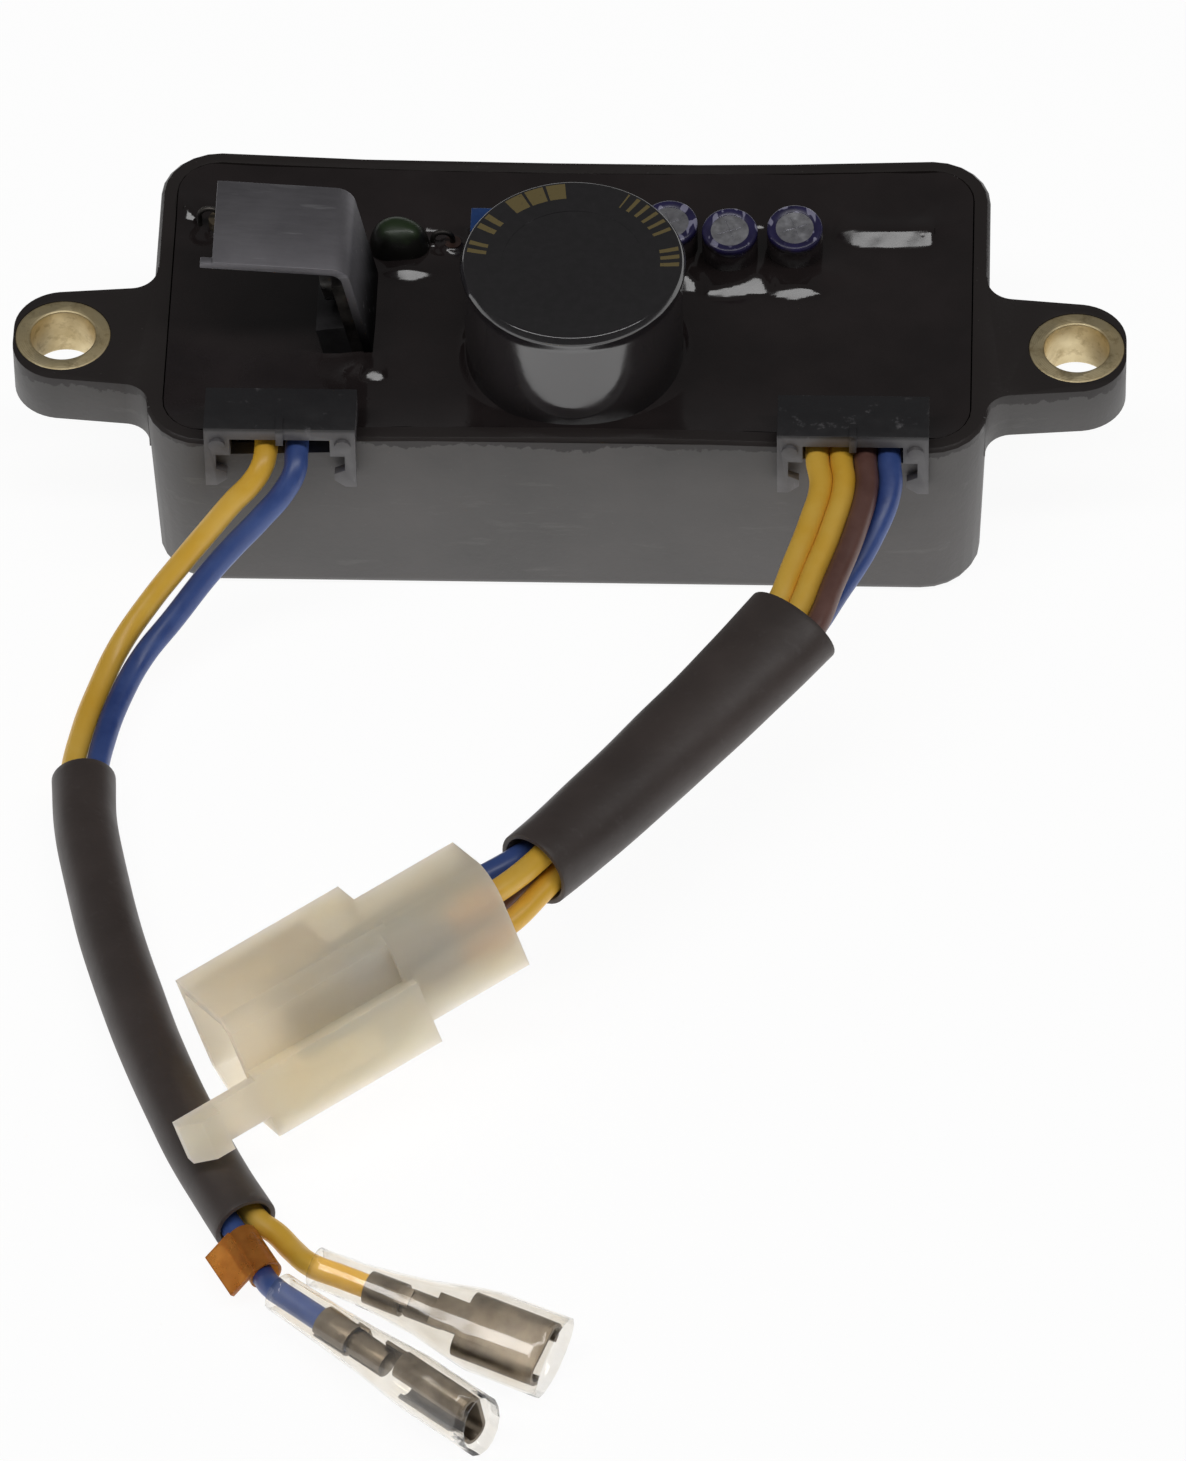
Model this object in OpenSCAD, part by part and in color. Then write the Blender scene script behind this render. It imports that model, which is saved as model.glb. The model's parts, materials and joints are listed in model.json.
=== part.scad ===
// Potted automatic voltage regulator for a small generator, with its two wire harnesses.
// Millimetres, +Z up. Origin at the centre of the case's flat base, +X along the two ears.

/* [Case] */
// Length of the case at its rim, along the ears
case_w = 92.6; // [86:0.2:100]
// Depth of the case at its rim
case_d = 45; // [43:0.2:52]
// Height of the case from base to rim
case_h = 23.5; // [22.5:0.1:27]
// Thickness of the case's walls
wall_t = 1.8; // [1.4:0.1:2.2]
// Thickness of the case's floor
floor_t = 2; // [1.4:0.1:3.5]
// Plan radius of the case's corners
corner_r = 6.5; // [5:0.1:8]
// How far each wall leans out from base to rim
wall_draft = 0.8; // [0.4:0.1:1.4]
// How far the long walls are drawn in at mid-length, at the rim
wall_bow = 1.1; // [0.2:0.1:1.3]

/* [Ears] */
// Distance between the two mounting holes
hole_pitch = 112; // [108:0.5:118]
// Distance of the holes from the case's middle line, towards the wires
ear_offset = 6.5; // [4:0.1:8]
// Thickness of the ears
ear_t = 6.3; // [4.5:0.1:8]
// Width of an ear at the case
ear_root_w = 15.4; // [14.5:0.1:17]
// Plastic around a bush at the ear's tip
ear_rim = 0.5; // [0.4:0.1:2]
// Outside diameter of a mounting bush
bush_d = 10.6; // [9:0.1:11]
// Bore of a mounting bush
bush_bore = 7.2; // [5.5:0.1:7.6]

/* [Resin and board] */
// Distance of the resin's surface below the rim
resin_drop = 1.5; // [0.8:0.1:2]
// Distance of the board's underside below the rim
board_drop = 9.1; // [8.6:0.1:10.5]
// Thickness of the circuit board
board_t = 1.6; // [1:0.1:2]

/* [Main capacitor] */
// Diameter of the main capacitor over its sleeve
cap_d = 24.8; // [20:0.1:24.8]
// Height of the main capacitor above the rim
cap_rise = 13.4; // [8:0.1:20]
// Thickness of the sleeve on the main capacitor
cap_sleeve_t = 0.4; // [0.3:0.05:0.6]

/* [Small capacitors] */
// Diameter of a small capacitor over its sleeve
small_cap_d = 6.2; // [5:0.1:6.2]
// Height of the small capacitors above the resin
small_cap_rise = 4.8; // [3:0.1:7]

/* [Heat sink] */
// Thickness of the bent sheet
sheet_t = 1; // [0.8:0.1:1.6]
// Depth of the sheet along Y
sheet_d = 12.7; // [11:0.1:14]
// Length of the flat top plate
plate_l = 13; // [10:0.1:14]
// Lean of the upright wall from vertical
sheet_lean = 11; // [6:0.5:14]

/* [Wire entries] */
// Width of a wire entry
entry_w = 16.6; // [15:0.1:18]
// Height of a wire entry's roof above the rim
entry_rise = 3.3; // [3.1:0.1:5]
// Depth of the notch in the front wall below the rim
notch_drop = 2.1; // [1.9:0.1:2.5]

/* [Wires] */
// Diameter of each insulated wire
wire_d = 2.6; // [2:0.1:2.6]
// Outside diameter of the left sleeve
left_sleeve_d = 7; // [6.8:0.1:8]
// Wall of both sleeves
sleeve_t = 0.6; // [0.4:0.05:0.65]

/* [Connector] */
// Length of the connector's open shroud
shroud_l = 20.5; // [18:0.1:24]
// Width of the shroud
shroud_w = 13.4; // [13:0.1:15]
// Height of the shroud
shroud_h = 14.2; // [13.8:0.1:16]
// Wall of the shroud
shroud_t = 1.2; // [1:0.1:1.5]
// Length of the block behind the shroud
block_l = 12.5; // [10:0.1:15]
// Width of the latch arm
latch_w = 4.8; // [4:0.1:5.5]
// Reach of the latch arm past the mouth
latch_reach = 9.8; // [8:0.1:12]

/* [Terminals] */
// Width of a tab receptacle
receptacle_w = 7.4; // [6.8:0.1:7.6]
// Length of a tab receptacle's curled part
receptacle_l = 9.4; // [8:0.1:11]
// Thickness of the receptacles' strip
strip_t = 0.45; // [0.4:0.05:0.6]
// Width of the clear covers
cover_w = 9.6; // [9.4:0.1:10.5]
// Thickness of the clear covers
cover_h = 5.8; // [5.6:0.1:6]
// Wall of the clear covers
cover_t = 0.35; // [0.3:0.05:0.5]

/* [Hidden] */
$fn = 48;

// Clearances
cast_gap = 0.03;
wall_gap = 0.22;
insert_gap = 0.02;
slip_gap = 0.1;
overlap = 1;

// Levels and planes shared by the pieces
resin_z = case_h - resin_drop;
board_z = case_h - board_drop;
board_top = board_z + board_t;
notch_z = case_h - notch_drop;
roof_top = case_h + entry_rise;
roof_t = 1.7;
front_y = -case_d / 2;

// Rounding of the case's lower and upper edges
base_round = 1.2;
rim_round = 0.4;
corner_steps = 6;
side_steps = 9;

// Ear geometry
ear_half = 1.2;
ear_end_r = bush_d / 2 + ear_rim - ear_half / 4;
ear_fillet = 3;
bush_chamfer = 0.3;
bush_groove = 0.5;

// Posts under the board
post_d = 4;
post_inset = 3.6;

// Main capacitor
cap_x = 0.6;
cap_top = case_h + cap_rise;
cap_y = front_y + wall_bow + wall_t + cap_d / 2 + 0.3;
cap_edge_r = 1.6;
cap_ring_w = cap_d * 0.19;
disc_t = 0.5;
cap_pin_d = 1.5;
cap_pin_gap = 10;

// Small capacitors: place on the resin, lean towards the wires
small_caps = [[10.7, 9.6, 6], [17.4, 8.6, 8], [24.6, 9.3, 10]];
small_sleeve_t = 0.2;
small_can_gap = 0.9;
small_can_l = small_cap_rise + resin_z - board_top - small_can_gap;
small_lead_d = 0.6;
small_lead_gap = 2.5;
small_ring_w = 1;

// Heat sink
sheet_front = -7.6;
bend_r = 1.4;
bend_lap = 0.03;
plate_tilt = 4;
wall_foot_x = -21.6;
wall_foot_gap = 0.4;
bend_z = case_h + 9.6;
bend_x = wall_foot_x - (bend_z - resin_z + (bend_r + sheet_t) * sin(sheet_lean)) * tan(sheet_lean)
    - (bend_r + sheet_t) * cos(sheet_lean);
wall_l = (bend_z - board_top - wall_foot_gap) / cos(sheet_lean) - 1;
shear_lip = 1.3;

// Power transistor on the heat sink's inner face
transistor_w = 10;
transistor_y = sheet_front + transistor_w / 2 + 0.2;
tab_t = 1.3;
tab_l = 15.4;
body_l = 9;
body_t = 3.2;
tab_top = -0.6;
screw_drop = 2.9;
screw_d = 3;
screw_skin = 0.35;
lead_w = 0.8;
lead_pitch = 2.54;

// Film capacitor, diode and resistor
film_at = [-19.5, 8.1];
film_size = [6.6, 5.1, 7.5];
film_rise = 4.2;
film_lead_gap = 5;
thin_lead_d = 0.6;
diode_at = [-13.5, 9.4];
diode_d = 1.9;
diode_rise = 0.8;
resistor_inset = [6.7, 10.9];
resistor_at = [resistor_inset.x - case_w / 2, case_d / 2 - resistor_inset.y];
resistor_d = 2.4;
resistor_rise = 1.8;
standing_l = 6;
loop_r = 1.1;

// Bridge rectifier
bridge_inset = [11.6, 8.1];
bridge_at = [case_w / 2 - bridge_inset.x, case_d / 2 - bridge_inset.y];
bridge_size = [9.8, 3.6, 7.4];
bridge_rise = 1.4;
bridge_lead_pitch = 2.5;

// Trimmer: box with a brass screw in its top
trimmer_at = [-6.7, 9.2];
trimmer_size = [9.5, 4.8];
trimmer_rise = 4;
trimmer_screw_x = 3.2;
trimmer_screw_d = 2.2;
trimmer_screw_rise = 1.2;
trimmer_bore_depth = 3;
screw_slot = 0.5;
running_gap = 0.05;
trimmer_pin_pitch = 2.5;

// Wire entries: place along X, legs on the outside of the front wall
entry_left_x = -31.2;
entry_right_x = 31.6;
entry_slot_w = 11;
leg_w = (entry_w - entry_slot_w) / 2;
leg_t = 1;
leg_y = front_y - slip_gap;
leg_bottom = case_h - 5.7;
leg_strip = 1.2;
leg_head = 4.2;
foot_h = 1;
foot_step = 0.4;
entry_depth = 6.2;
entry_back = leg_y - leg_t + entry_depth;
entry_rear_t = 1;
boss_r = 0.9;
nib_w = 0.8;

// Wires inside the case, from the board up over the notch
wire_r = wire_d / 2;
wire_exit_z = notch_z + wire_r + 0.15;
tail_d = 1.2;
tail_at = -13;
tail_z = board_top + 1.5;
tail_slope = 37;
tail_run = 2.4;
tail_climb = 1.8;
left_exits = [-32.8, -29.4];
right_exits = [27.75, 30.37, 32.99, 35.61];
tube_sides = 8;

// Left harness route, from the case to the far end of the sleeve
left_yellow_lead = [
    [-33.1, -25, 22.4], [-34.2, -26.2, 21], [-36.2, -27.1, 19], [-39, -28.3, 15.6], [-41.9, -29.8, 12.2],
    [-45.6, -32.6, 8.4], [-48.7, -36.4, 5.6], [-50.8, -41.6, 4.2], [-52.3, -47.5, 3.7]
];
left_blue_lead = [
    [-29.5, -25.4, 22.2], [-30.6, -26.9, 20.6], [-33.3, -28.4, 17.6], [-36.3, -29.5, 14.3], [-39.2, -31, 11.2],
    [-42.9, -34, 7.4], [-46.2, -37.7, 5.1], [-48.4, -42.8, 4.1], [-49.8, -48.4, 3.7]
];
left_route = [
    [-51.8, -54.6, 3.6], [-51.2, -61, 3.6], [-49.6, -69, 3.6], [-47.4, -78, 3.6], [-44.6, -87, 3.6],
    [-41.4, -96, 3.6], [-37.6, -105, 3.6], [-34, -112.4, 3.6], [-31, -117.8, 3.6]
];
left_yellow_out = [[-27.6, -119, 3.5], [-25.8, -121.3, 3.6]];
left_blue_out = [[-30.6, -121, 3.4], [-28.8, -124.7, 3.4]];
left_spread = 1.42;
left_twist = [190, 0];

// Right harness route through its sleeve, and the places of its wires in the sleeve's two ends
right_route = [
    [25.6, -45.2, 19.9], [20, -52.2, 18.6], [12, -62, 17.4], [4, -72, 16.9], [-1.6, -79, 17.2]
];
right_leads = [
    [[28.2, -27, 22.7], [27.2, -32, 22.4], [25.4, -38, 21.6]],
    [[30.7, -27, 22.8], [29.6, -32.8, 22.4], [27.6, -39.2, 21.6]],
    [[33.2, -27.2, 22.7], [32, -33.6, 22.2], [29.8, -40.4, 21.2]],
    [[35.75, -27, 22.1], [33.7, -32.6, 19.9], [30.1, -39.4, 18.4]]
];
// Angle and radius of each wire about the sleeve's line, at its start and at its end
right_start = [[165, 2.8], [90, 0.9], [15, 2.8], [-51, 2.13]];
right_end = [[75, 1.8], [-25, 2.26], [-114, 2.1], [-193, 2.16]];
right_sleeve_start = [11.6, 7.8];
right_sleeve_end = [8.9, 8.9];

// Connector: place of the far upper corner of its mouth, and its turns
connector_at = [-39.4, -92.6, 13.9];
connector_turn = [-24, -8, 33.5];
mouth_depth = 15;
key_cut = [2.4, 3];
top_cut = 1.6;
block_inset = 4.2;
block_w = 9.8;
block_h = 12.2;
block_round = 3.5;
way_pitch = 4.2;
way_gap = 0.3;
latch_rib_w = 1.9;
latch_top = 6.4;
latch_t = 1.3;
hook_l = 4.4;
hook_rise = 2;
tab_size = [0.8, 2.8];
tab_front = 6.5;
barrel_start = 19;
barrel_end = 27;
barrel_d = 3;
ways = [for (dz = [-0.5, 0.5]) for (dy = [0.5, -0.5])
    [-block_inset - block_w / 2 + dy * way_pitch, -block_h / 2 + dz * way_pitch]];
wire_ways = [3, 1, 0, 2];

// Terminals: place of the wire's end, and turns
yellow_terminal_at = [-13.9, -128.6, 4.5];
yellow_terminal_turn = [200, 0, -25];
blue_terminal_at = [-18.96, -134.47, 4.8];
blue_terminal_turn = [100, 0, -39];
terminal_run = [-10.8, -7.4, -4, 0.2];
crimp_l = 4.2;
crimp_gap = 0.6;
neck_l = 2.6;
curl_r = 1.6;
cover_rings = [
    [-10.4, 0.47, 0.76], [-5.4, 0.48, 0.8], [-1.4, 0.56, 0.84], [2.6, 0.68, 0.9],
    [6.6, 0.88, 0.98], [9.6, 1, 1], [18, 1, 1]
];
cover_sides = 16;

// Tape folded over the blue wire at the sleeve's end
tape_at = [-30, -122, 3.45];
tape_turn = -60;
tape_l = 6;
tape_t = 0.3;
tape_gap = 0.25;
flag_l = 3.8;
flag_droop = 41;

// Vectors
function unit(v) = v / norm(v);
function turn_x(p, a) = [p.x, p.y * cos(a) - p.z * sin(a), p.y * sin(a) + p.z * cos(a)];
function turn_y(p, a) = [p.x * cos(a) + p.z * sin(a), p.y, p.z * cos(a) - p.x * sin(a)];
function turn_z(p, a) = [p.x * cos(a) - p.y * sin(a), p.x * sin(a) + p.y * cos(a), p.z];
function placed(p, at, turn) = at + turn_z(turn_y(turn_x(p, turn.x), turn.y), turn.z);

// Rings of points and lofts between them
function flat_ring(outline, z) = [for (p = outline) [p.x, p.y, z]];

module loft(rings, closed = false) {
    n = len(rings[0]);
    count = len(rings);
    last = closed ? count - 1 : count - 2;
    sides = [for (i = [0:last]) for (j = [0:n - 1])
        let (k = (j + 1) % n, up = (i + 1) % count)
        [i * n + j, up * n + j, up * n + k, i * n + k]];
    caps = closed ? [] : [[for (j = [0:n - 1]) j], [for (j = [n - 1:-1:0]) (count - 1) * n + j]];
    polyhedron([for (r = rings) for (p = r) p], concat(sides, caps), convexity = 6);
}

// Tangent of a route at point i
function along(route, i) =
    unit(route[min(i + 1, len(route) - 1)] - route[max(i - 1, 0)]);
// Level direction to the left of the route, and the direction square to both
function left_of(route, i) = unit(cross([0, 0, 1], along(route, i)));
function above(route, i) = cross(along(route, i), left_of(route, i));
function beside(route, i, p) = route[i] + left_of(route, i) * p.x + above(route, i) * p.y;

function tube_ring(route, i, a, b, sides) =
    [for (s = [0:sides - 1]) let (t = 360 * (s + 0.5) / sides)
        beside(route, i, [a * cos(t), b * sin(t)])];

module tube(route, r) {
    loft([for (i = [0:len(route) - 1]) tube_ring(route, i, r, r, tube_sides)]);
}

// Hollow tube whose oval section changes from one end to the other
module hollow_tube(route, start, end, wall, sides) {
    n = len(route) - 1;
    function size(i) = (start + (end - start) * i / n) / 2;
    outer = [for (i = [0:n]) tube_ring(route, i, size(i).x, size(i).y, sides)];
    inner = [for (i = [n:-1:0]) tube_ring(route, i, size(i).x - wall, size(i).y - wall, sides)];
    loft(concat(outer, inner), closed = true);
}

// Case outline: rounded rectangle whose long sides bow inwards
function corner(x, y, r, a) =
    [for (i = [0:corner_steps]) let (t = a + 90 * i / corner_steps) [x + r * cos(t), y + r * sin(t)]];
function long_side(x, y, bow) =
    [for (i = [1:side_steps]) let (u = 1 - 2 * i / (side_steps + 1))
        [x * u, y - sign(y) * bow * (1 - u * u)]];
function case_outline(inset, z) =
    let (
        lean = wall_draft * (1 - z / case_h),
        w = case_w / 2 - lean - inset,
        d = case_d / 2 - lean - inset,
        r = corner_r - inset,
        bow = wall_bow * z / case_h
    )
    concat(
        corner(w - r, d - r, r, 0), long_side(w - r, d, bow), corner(r - w, d - r, r, 90),
        corner(r - w, r - d, r, 180), long_side(r - w, -d, bow), corner(w - r, r - d, r, 270)
    );
function case_ring(inset, z) = flat_ring(case_outline(inset, z), z);

module case_shell() {
    loft([
        case_ring(base_round, 0),
        case_ring(base_round * 0.3, base_round * 0.3),
        case_ring(0, base_round),
        case_ring(0, case_h - rim_round),
        case_ring(rim_round, case_h),
        case_ring(wall_t, case_h),
        case_ring(wall_t, floor_t)
    ]);
}

// Ear seen from above, on the +X side; the strip of wall beside it carries the fillets
module ear_outline() {
    wall_x = case_w / 2 - wall_draft * ear_t / case_h - insert_gap;
    strip = ear_root_w / 2 + ear_fillet;
    offset(r = -ear_fillet) offset(delta = ear_fillet) {
        hull() {
            for (s = [-1, 1]) translate([hole_pitch / 2, -ear_offset + s * ear_half]) circle(ear_end_r);
            translate([wall_x - wall_t / 2, -ear_offset - ear_root_w / 2]) square([0.1, ear_root_w]);
        }
        translate([wall_x - wall_t / 2, -ear_offset - strip]) square([wall_t / 2, 2 * strip]);
    }
}

module post_places() {
    for (sx = [-1, 1]) for (sy = [-1, 1])
        translate([
            sx * (case_w / 2 - wall_draft - wall_t - post_inset),
            sy * (case_d / 2 - wall_draft - wall_t - post_inset), 0])
            children();
}

module bush_profile(gap) {
    r = bush_d / 2 + gap;
    mid = ear_t / 2;
    polygon([
        [bush_bore / 2 + bush_chamfer, 0], [r, 0], [r, mid - bush_groove], [r - bush_groove, mid],
        [r, mid + bush_groove], [r, ear_t], [bush_bore / 2, ear_t], [bush_bore / 2, bush_chamfer]
    ]);
}

module at_ear(side) {
    translate([side * hole_pitch / 2, -ear_offset, case_h - ear_t]) children();
}

module notch(x) {
    depth = wall_t + wall_bow + wall_draft + overlap;
    translate([x - entry_slot_w / 2, front_y - overlap, notch_z])
        cube([entry_slot_w, depth + overlap, notch_drop + overlap]);
}

module case() {
    color([0.12, 0.12, 0.12]) difference() {
        union() {
            case_shell();
            for (side = [0, 1]) mirror([side, 0, 0])
                translate([0, 0, case_h - ear_t]) linear_extrude(ear_t) ear_outline();
            post_places() translate([0, 0, floor_t / 2]) cylinder(d = post_d, h = board_z - floor_t / 2);
        }
        for (side = [-1, 1]) at_ear(side) {
            rotate_extrude() bush_profile(insert_gap);
            translate([0, 0, -overlap]) cylinder(d = bush_bore + 2 * bush_chamfer, h = ear_t + 2 * overlap);
        }
        notch(entry_left_x);
        notch(entry_right_x);
    }
}

module ear_bush(side) {
    color([0.72, 0.6, 0.36]) at_ear(side) rotate_extrude() bush_profile(0);
}

module ear_bush_left() { ear_bush(-1); }
module ear_bush_right() { ear_bush(1); }

// Board, cut back from the walls
module board_outline(gap) {
    polygon(case_outline(wall_t + 0.6 - gap, board_z));
}

module circuit_board() {
    color([0.16, 0.3, 0.2]) difference() {
        translate([0, 0, board_z]) linear_extrude(board_t) board_outline(0);
        lead_holes() cylinder(d = thin_lead_d + 0.3, h = 4 * board_t, center = true);
        cap_pin_places() cylinder(d = cap_pin_d + 0.3, h = 4 * board_t, center = true);
    }
}

// Every place where a thin lead passes through the board
module lead_holes() {
    for (i = [0:2]) small_lead_places(i) children();
    film_lead_places() children();
    standing_lead_places() children();
    bridge_lead_places() children();
    trimmer_pin_places() children();
    transistor_lead_places() children();
}

lead_end = board_z - 1.2;

// Straight lead from below the board up to a height
module lead(top, d, gap = 0) {
    translate([0, 0, lead_end - board_top - gap]) cylinder(d = d + 2 * gap, h = top - lead_end + gap);
}

// Resin: fills the case to just below the rim and is cast round all that stands in it
module potting_resin() {
    color([0.05, 0.05, 0.05]) difference() {
        loft([case_ring(wall_t + wall_gap, floor_t + cast_gap), case_ring(wall_t + wall_gap, resin_z)]);
        translate([0, 0, board_z - cast_gap]) linear_extrude(board_t + 2 * cast_gap) board_outline(cast_gap);
        post_places() cylinder(d = post_d + 2 * cast_gap, h = board_z);
        sheet_wall(cast_gap);
        transistor_shape(cast_gap);
        transistor_leads(cast_gap);
        cap_barrel(cast_gap);
        cap_pins(cast_gap);
        for (i = [0:2]) small_barrel(i, cast_gap);
        small_leads(cast_gap);
        film_shape(cast_gap);
        film_leads(cast_gap);
        standing_shape(diode_at, diode_d, diode_rise, cast_gap);
        standing_shape(resistor_at, resistor_d, resistor_rise, cast_gap);
        standing_wires(cast_gap);
        bridge_shape(cast_gap);
        bridge_pins(cast_gap);
        trimmer_box(cast_gap);
        trimmer_legs(cast_gap);
        for (x = concat(left_exits, right_exits)) {
            tube(entry_route(x), wire_r + cast_gap);
            wire_tail(x, cast_gap);
        }
        for (x = [entry_left_x, entry_right_x]) entry_cheeks(x, cast_gap);
    }
}

// Heat sink: one bent sheet, drawn as a section in X and Z and extruded along Y
module sheet_section(gap, lap = 0) {
    translate([bend_x, bend_z]) {
        rotate(sheet_lean) translate([bend_r - gap, -wall_l - gap]) square([sheet_t + 2 * gap, wall_l + gap + lap]);
        intersection() {
            difference() {
                circle(bend_r + sheet_t + gap);
                circle(bend_r - gap);
            }
            polygon([
                [0, 0], 6 * bend_r * [cos(sheet_lean), sin(sheet_lean)],
                6 * bend_r * [cos(45), sin(45)],
                6 * bend_r * [cos(90 - plate_tilt), sin(90 - plate_tilt)]
            ]);
        }
        rotate(90 - plate_tilt) translate([bend_r - gap, -lap]) square([sheet_t + 2 * gap, plate_l + lap]);
    }
}

module along_y(y, d) {
    translate([0, y + d, 0]) rotate([90, 0, 0]) linear_extrude(d) children();
}

module sheet_wall(gap) {
    intersection() {
        along_y(sheet_front - gap, sheet_d + 2 * gap) sheet_section(gap);
        translate([bend_x - plate_l, sheet_front - overlap, 0]) cube([3 * plate_l, sheet_d + 2, resin_z + overlap]);
    }
}

module heat_sink() {
    color([0.5, 0.5, 0.52]) difference() {
        union() {
            along_y(sheet_front, sheet_d) sheet_section(0, bend_lap);
            along_y(sheet_front, sheet_t) translate([bend_x, bend_z]) rotate(90 - plate_tilt)
                translate([bend_r, plate_l - overlap]) square([sheet_t * 0.8, shear_lip + overlap]);
        }
        on_wall() translate([-overlap, 0, tab_top - screw_drop]) rotate([0, 90, 0])
            cylinder(d = screw_d + 2 * slip_gap, h = sheet_t - screw_skin + overlap);
    }
}

// Frame on the heat sink's inner face: X into the sheet, Z up along the wall
module on_wall() {
    translate([bend_x, transistor_y, bend_z]) rotate([0, -sheet_lean, 0]) translate([bend_r, 0, 0]) children();
}

module transistor_shape(gap) {
    on_wall() {
        translate([-tab_t - gap, -transistor_w / 2 - gap, tab_top - tab_l - gap])
            cube([tab_t + 2 * gap, transistor_w + 2 * gap, tab_l + 2 * gap]);
        translate([-tab_t - body_t - gap, -transistor_w / 2 - gap, tab_top - tab_l - gap])
            cube([body_t + 2 * gap, transistor_w + 2 * gap, body_l + 2 * gap]);
    }
}

module transistor_lead_places() {
    lead_x = bend_x + bend_r * cos(sheet_lean) + (tab_l - tab_top) * sin(sheet_lean) - 1.5 * tab_t;
    for (i = [-1:1]) translate([lead_x, transistor_y + i * lead_pitch, board_top]) children();
}

lead_top = bend_z - (tab_l - tab_top - 1) * cos(sheet_lean);

module transistor_leads(gap) {
    transistor_lead_places() lead(lead_top, lead_w, gap);
}

module transistor_body() {
    color([0.08, 0.08, 0.08]) difference() {
        on_wall() translate([-tab_t - body_t, -transistor_w / 2, tab_top - tab_l])
            cube([body_t, transistor_w, body_l]);
        transistor_leads(cast_gap);
    }
}

module transistor_frame() {
    color([0.7, 0.7, 0.68]) {
        difference() {
            on_wall() difference() {
                translate([-tab_t, -transistor_w / 2, tab_top - tab_l]) cube([tab_t, transistor_w, tab_l]);
                translate([-tab_t - overlap, 0, tab_top - screw_drop]) rotate([0, 90, 0])
                    cylinder(d = screw_d + 2 * slip_gap, h = tab_t + 2 * overlap);
            }
            transistor_leads(cast_gap);
        }
        transistor_leads(0);
    }
}

module transistor_screw() {
    head_t = 1.8;
    shank = tab_t + sheet_t - screw_skin - slip_gap;
    color([0.66, 0.66, 0.64]) on_wall() translate([0, 0, tab_top - screw_drop]) rotate([0, 90, 0]) {
        translate([0, 0, -tab_t - head_t]) difference() {
            cylinder(d = 1.9 * screw_d, h = head_t);
            translate([-screw_d, -screw_slot, -overlap]) cube([2 * screw_d, 2 * screw_slot, overlap + 0.8]);
        }
        translate([0, 0, -tab_t]) cylinder(d = screw_d, h = shank);
    }
}

// Main capacitor: can, insulating disc and shrunk sleeve, on snap-in pins
module at_cap() { translate([cap_x, cap_y, 0]) children(); }

module cap_barrel(gap) {
    at_cap() translate([0, 0, board_top]) cylinder(d = cap_d + 2 * gap, h = resin_drop + case_h);
}

module cap_pin_places() {
    for (s = [-1, 1]) at_cap() translate([s * cap_pin_gap / 2, 0, board_top]) children();
}

module cap_pins(gap) {
    cap_pin_places() lead(board_top + 0.5, cap_pin_d, gap);
}

module main_capacitor_pins() {
    color([0.75, 0.75, 0.72]) cap_pins(0);
}

module main_capacitor_can() {
    r = cap_d / 2 - cap_sleeve_t;
    top = cap_top - cap_sleeve_t - disc_t;
    color([0.7, 0.7, 0.72]) at_cap() rotate_extrude() {
        translate([0, board_top + 0.5]) square([r, top - board_top - cap_edge_r - 0.5]);
        translate([0, top - cap_edge_r]) square([r - cap_edge_r, cap_edge_r]);
        intersection() {
            translate([r - cap_edge_r, top - cap_edge_r]) circle(cap_edge_r);
            translate([0, top - cap_edge_r]) square([r, cap_edge_r]);
        }
    }
}

module main_capacitor_disc() {
    r = cap_d / 2 - cap_sleeve_t - cap_edge_r;
    color([0.05, 0.05, 0.06]) at_cap() translate([0, 0, cap_top - cap_sleeve_t - disc_t]) cylinder(r = r, h = disc_t);
}

// Sleeve section: wall, rolled edge and the ring turned in over the disc
module main_capacitor_sleeve() {
    r = cap_d / 2;
    rr = cap_edge_r + cap_sleeve_t;
    bend = cap_top - rr;
    color([0.05, 0.05, 0.06]) at_cap() rotate_extrude() {
        translate([r - cap_sleeve_t, board_top + 0.5]) square([cap_sleeve_t, bend - board_top - 0.5]);
        intersection() {
            translate([r - rr, bend]) difference() {
                circle(rr);
                circle(cap_edge_r);
            }
            translate([r - rr, bend]) square(rr);
        }
        translate([r - cap_ring_w, cap_top - cap_sleeve_t]) square([cap_ring_w - rr, cap_sleeve_t]);
    }
}

// Small capacitors: leaning cans with a scored top
module at_small(i) {
    translate([small_caps[i].x, small_caps[i].y, resin_z]) rotate([small_caps[i].z, 0, 0]) children();
}

small_base = small_cap_rise - small_can_l;

module small_barrel(i, gap) {
    at_small(i) translate([0, 0, small_base - gap])
        cylinder(d = small_cap_d + 2 * gap, h = small_can_l + overlap);
}

module small_capacitor_can(i) {
    r = small_cap_d / 2 - small_sleeve_t;
    score = 0.12;
    color([0.75, 0.75, 0.76]) at_small(i) difference() {
        translate([0, 0, small_base]) cylinder(r = r, h = small_can_l - small_sleeve_t);
        for (a = [20, 110]) rotate(a)
            translate([-r / 2, -score / 2, small_cap_rise - small_sleeve_t - score]) cube([r, score, overlap]);
    }
}

module small_capacitor_can_1() { small_capacitor_can(0); }
module small_capacitor_can_2() { small_capacitor_can(1); }
module small_capacitor_can_3() { small_capacitor_can(2); }

module small_capacitor_sleeve(i) {
    r = small_cap_d / 2;
    color([0.16, 0.13, 0.34]) at_small(i) rotate_extrude() {
        translate([r - small_sleeve_t, small_base]) square([small_sleeve_t, small_can_l]);
        translate([r - small_ring_w, small_cap_rise - small_sleeve_t]) square([small_ring_w, small_sleeve_t]);
    }
}

module small_capacitor_sleeve_1() { small_capacitor_sleeve(0); }
module small_capacitor_sleeve_2() { small_capacitor_sleeve(1); }
module small_capacitor_sleeve_3() { small_capacitor_sleeve(2); }

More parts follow.
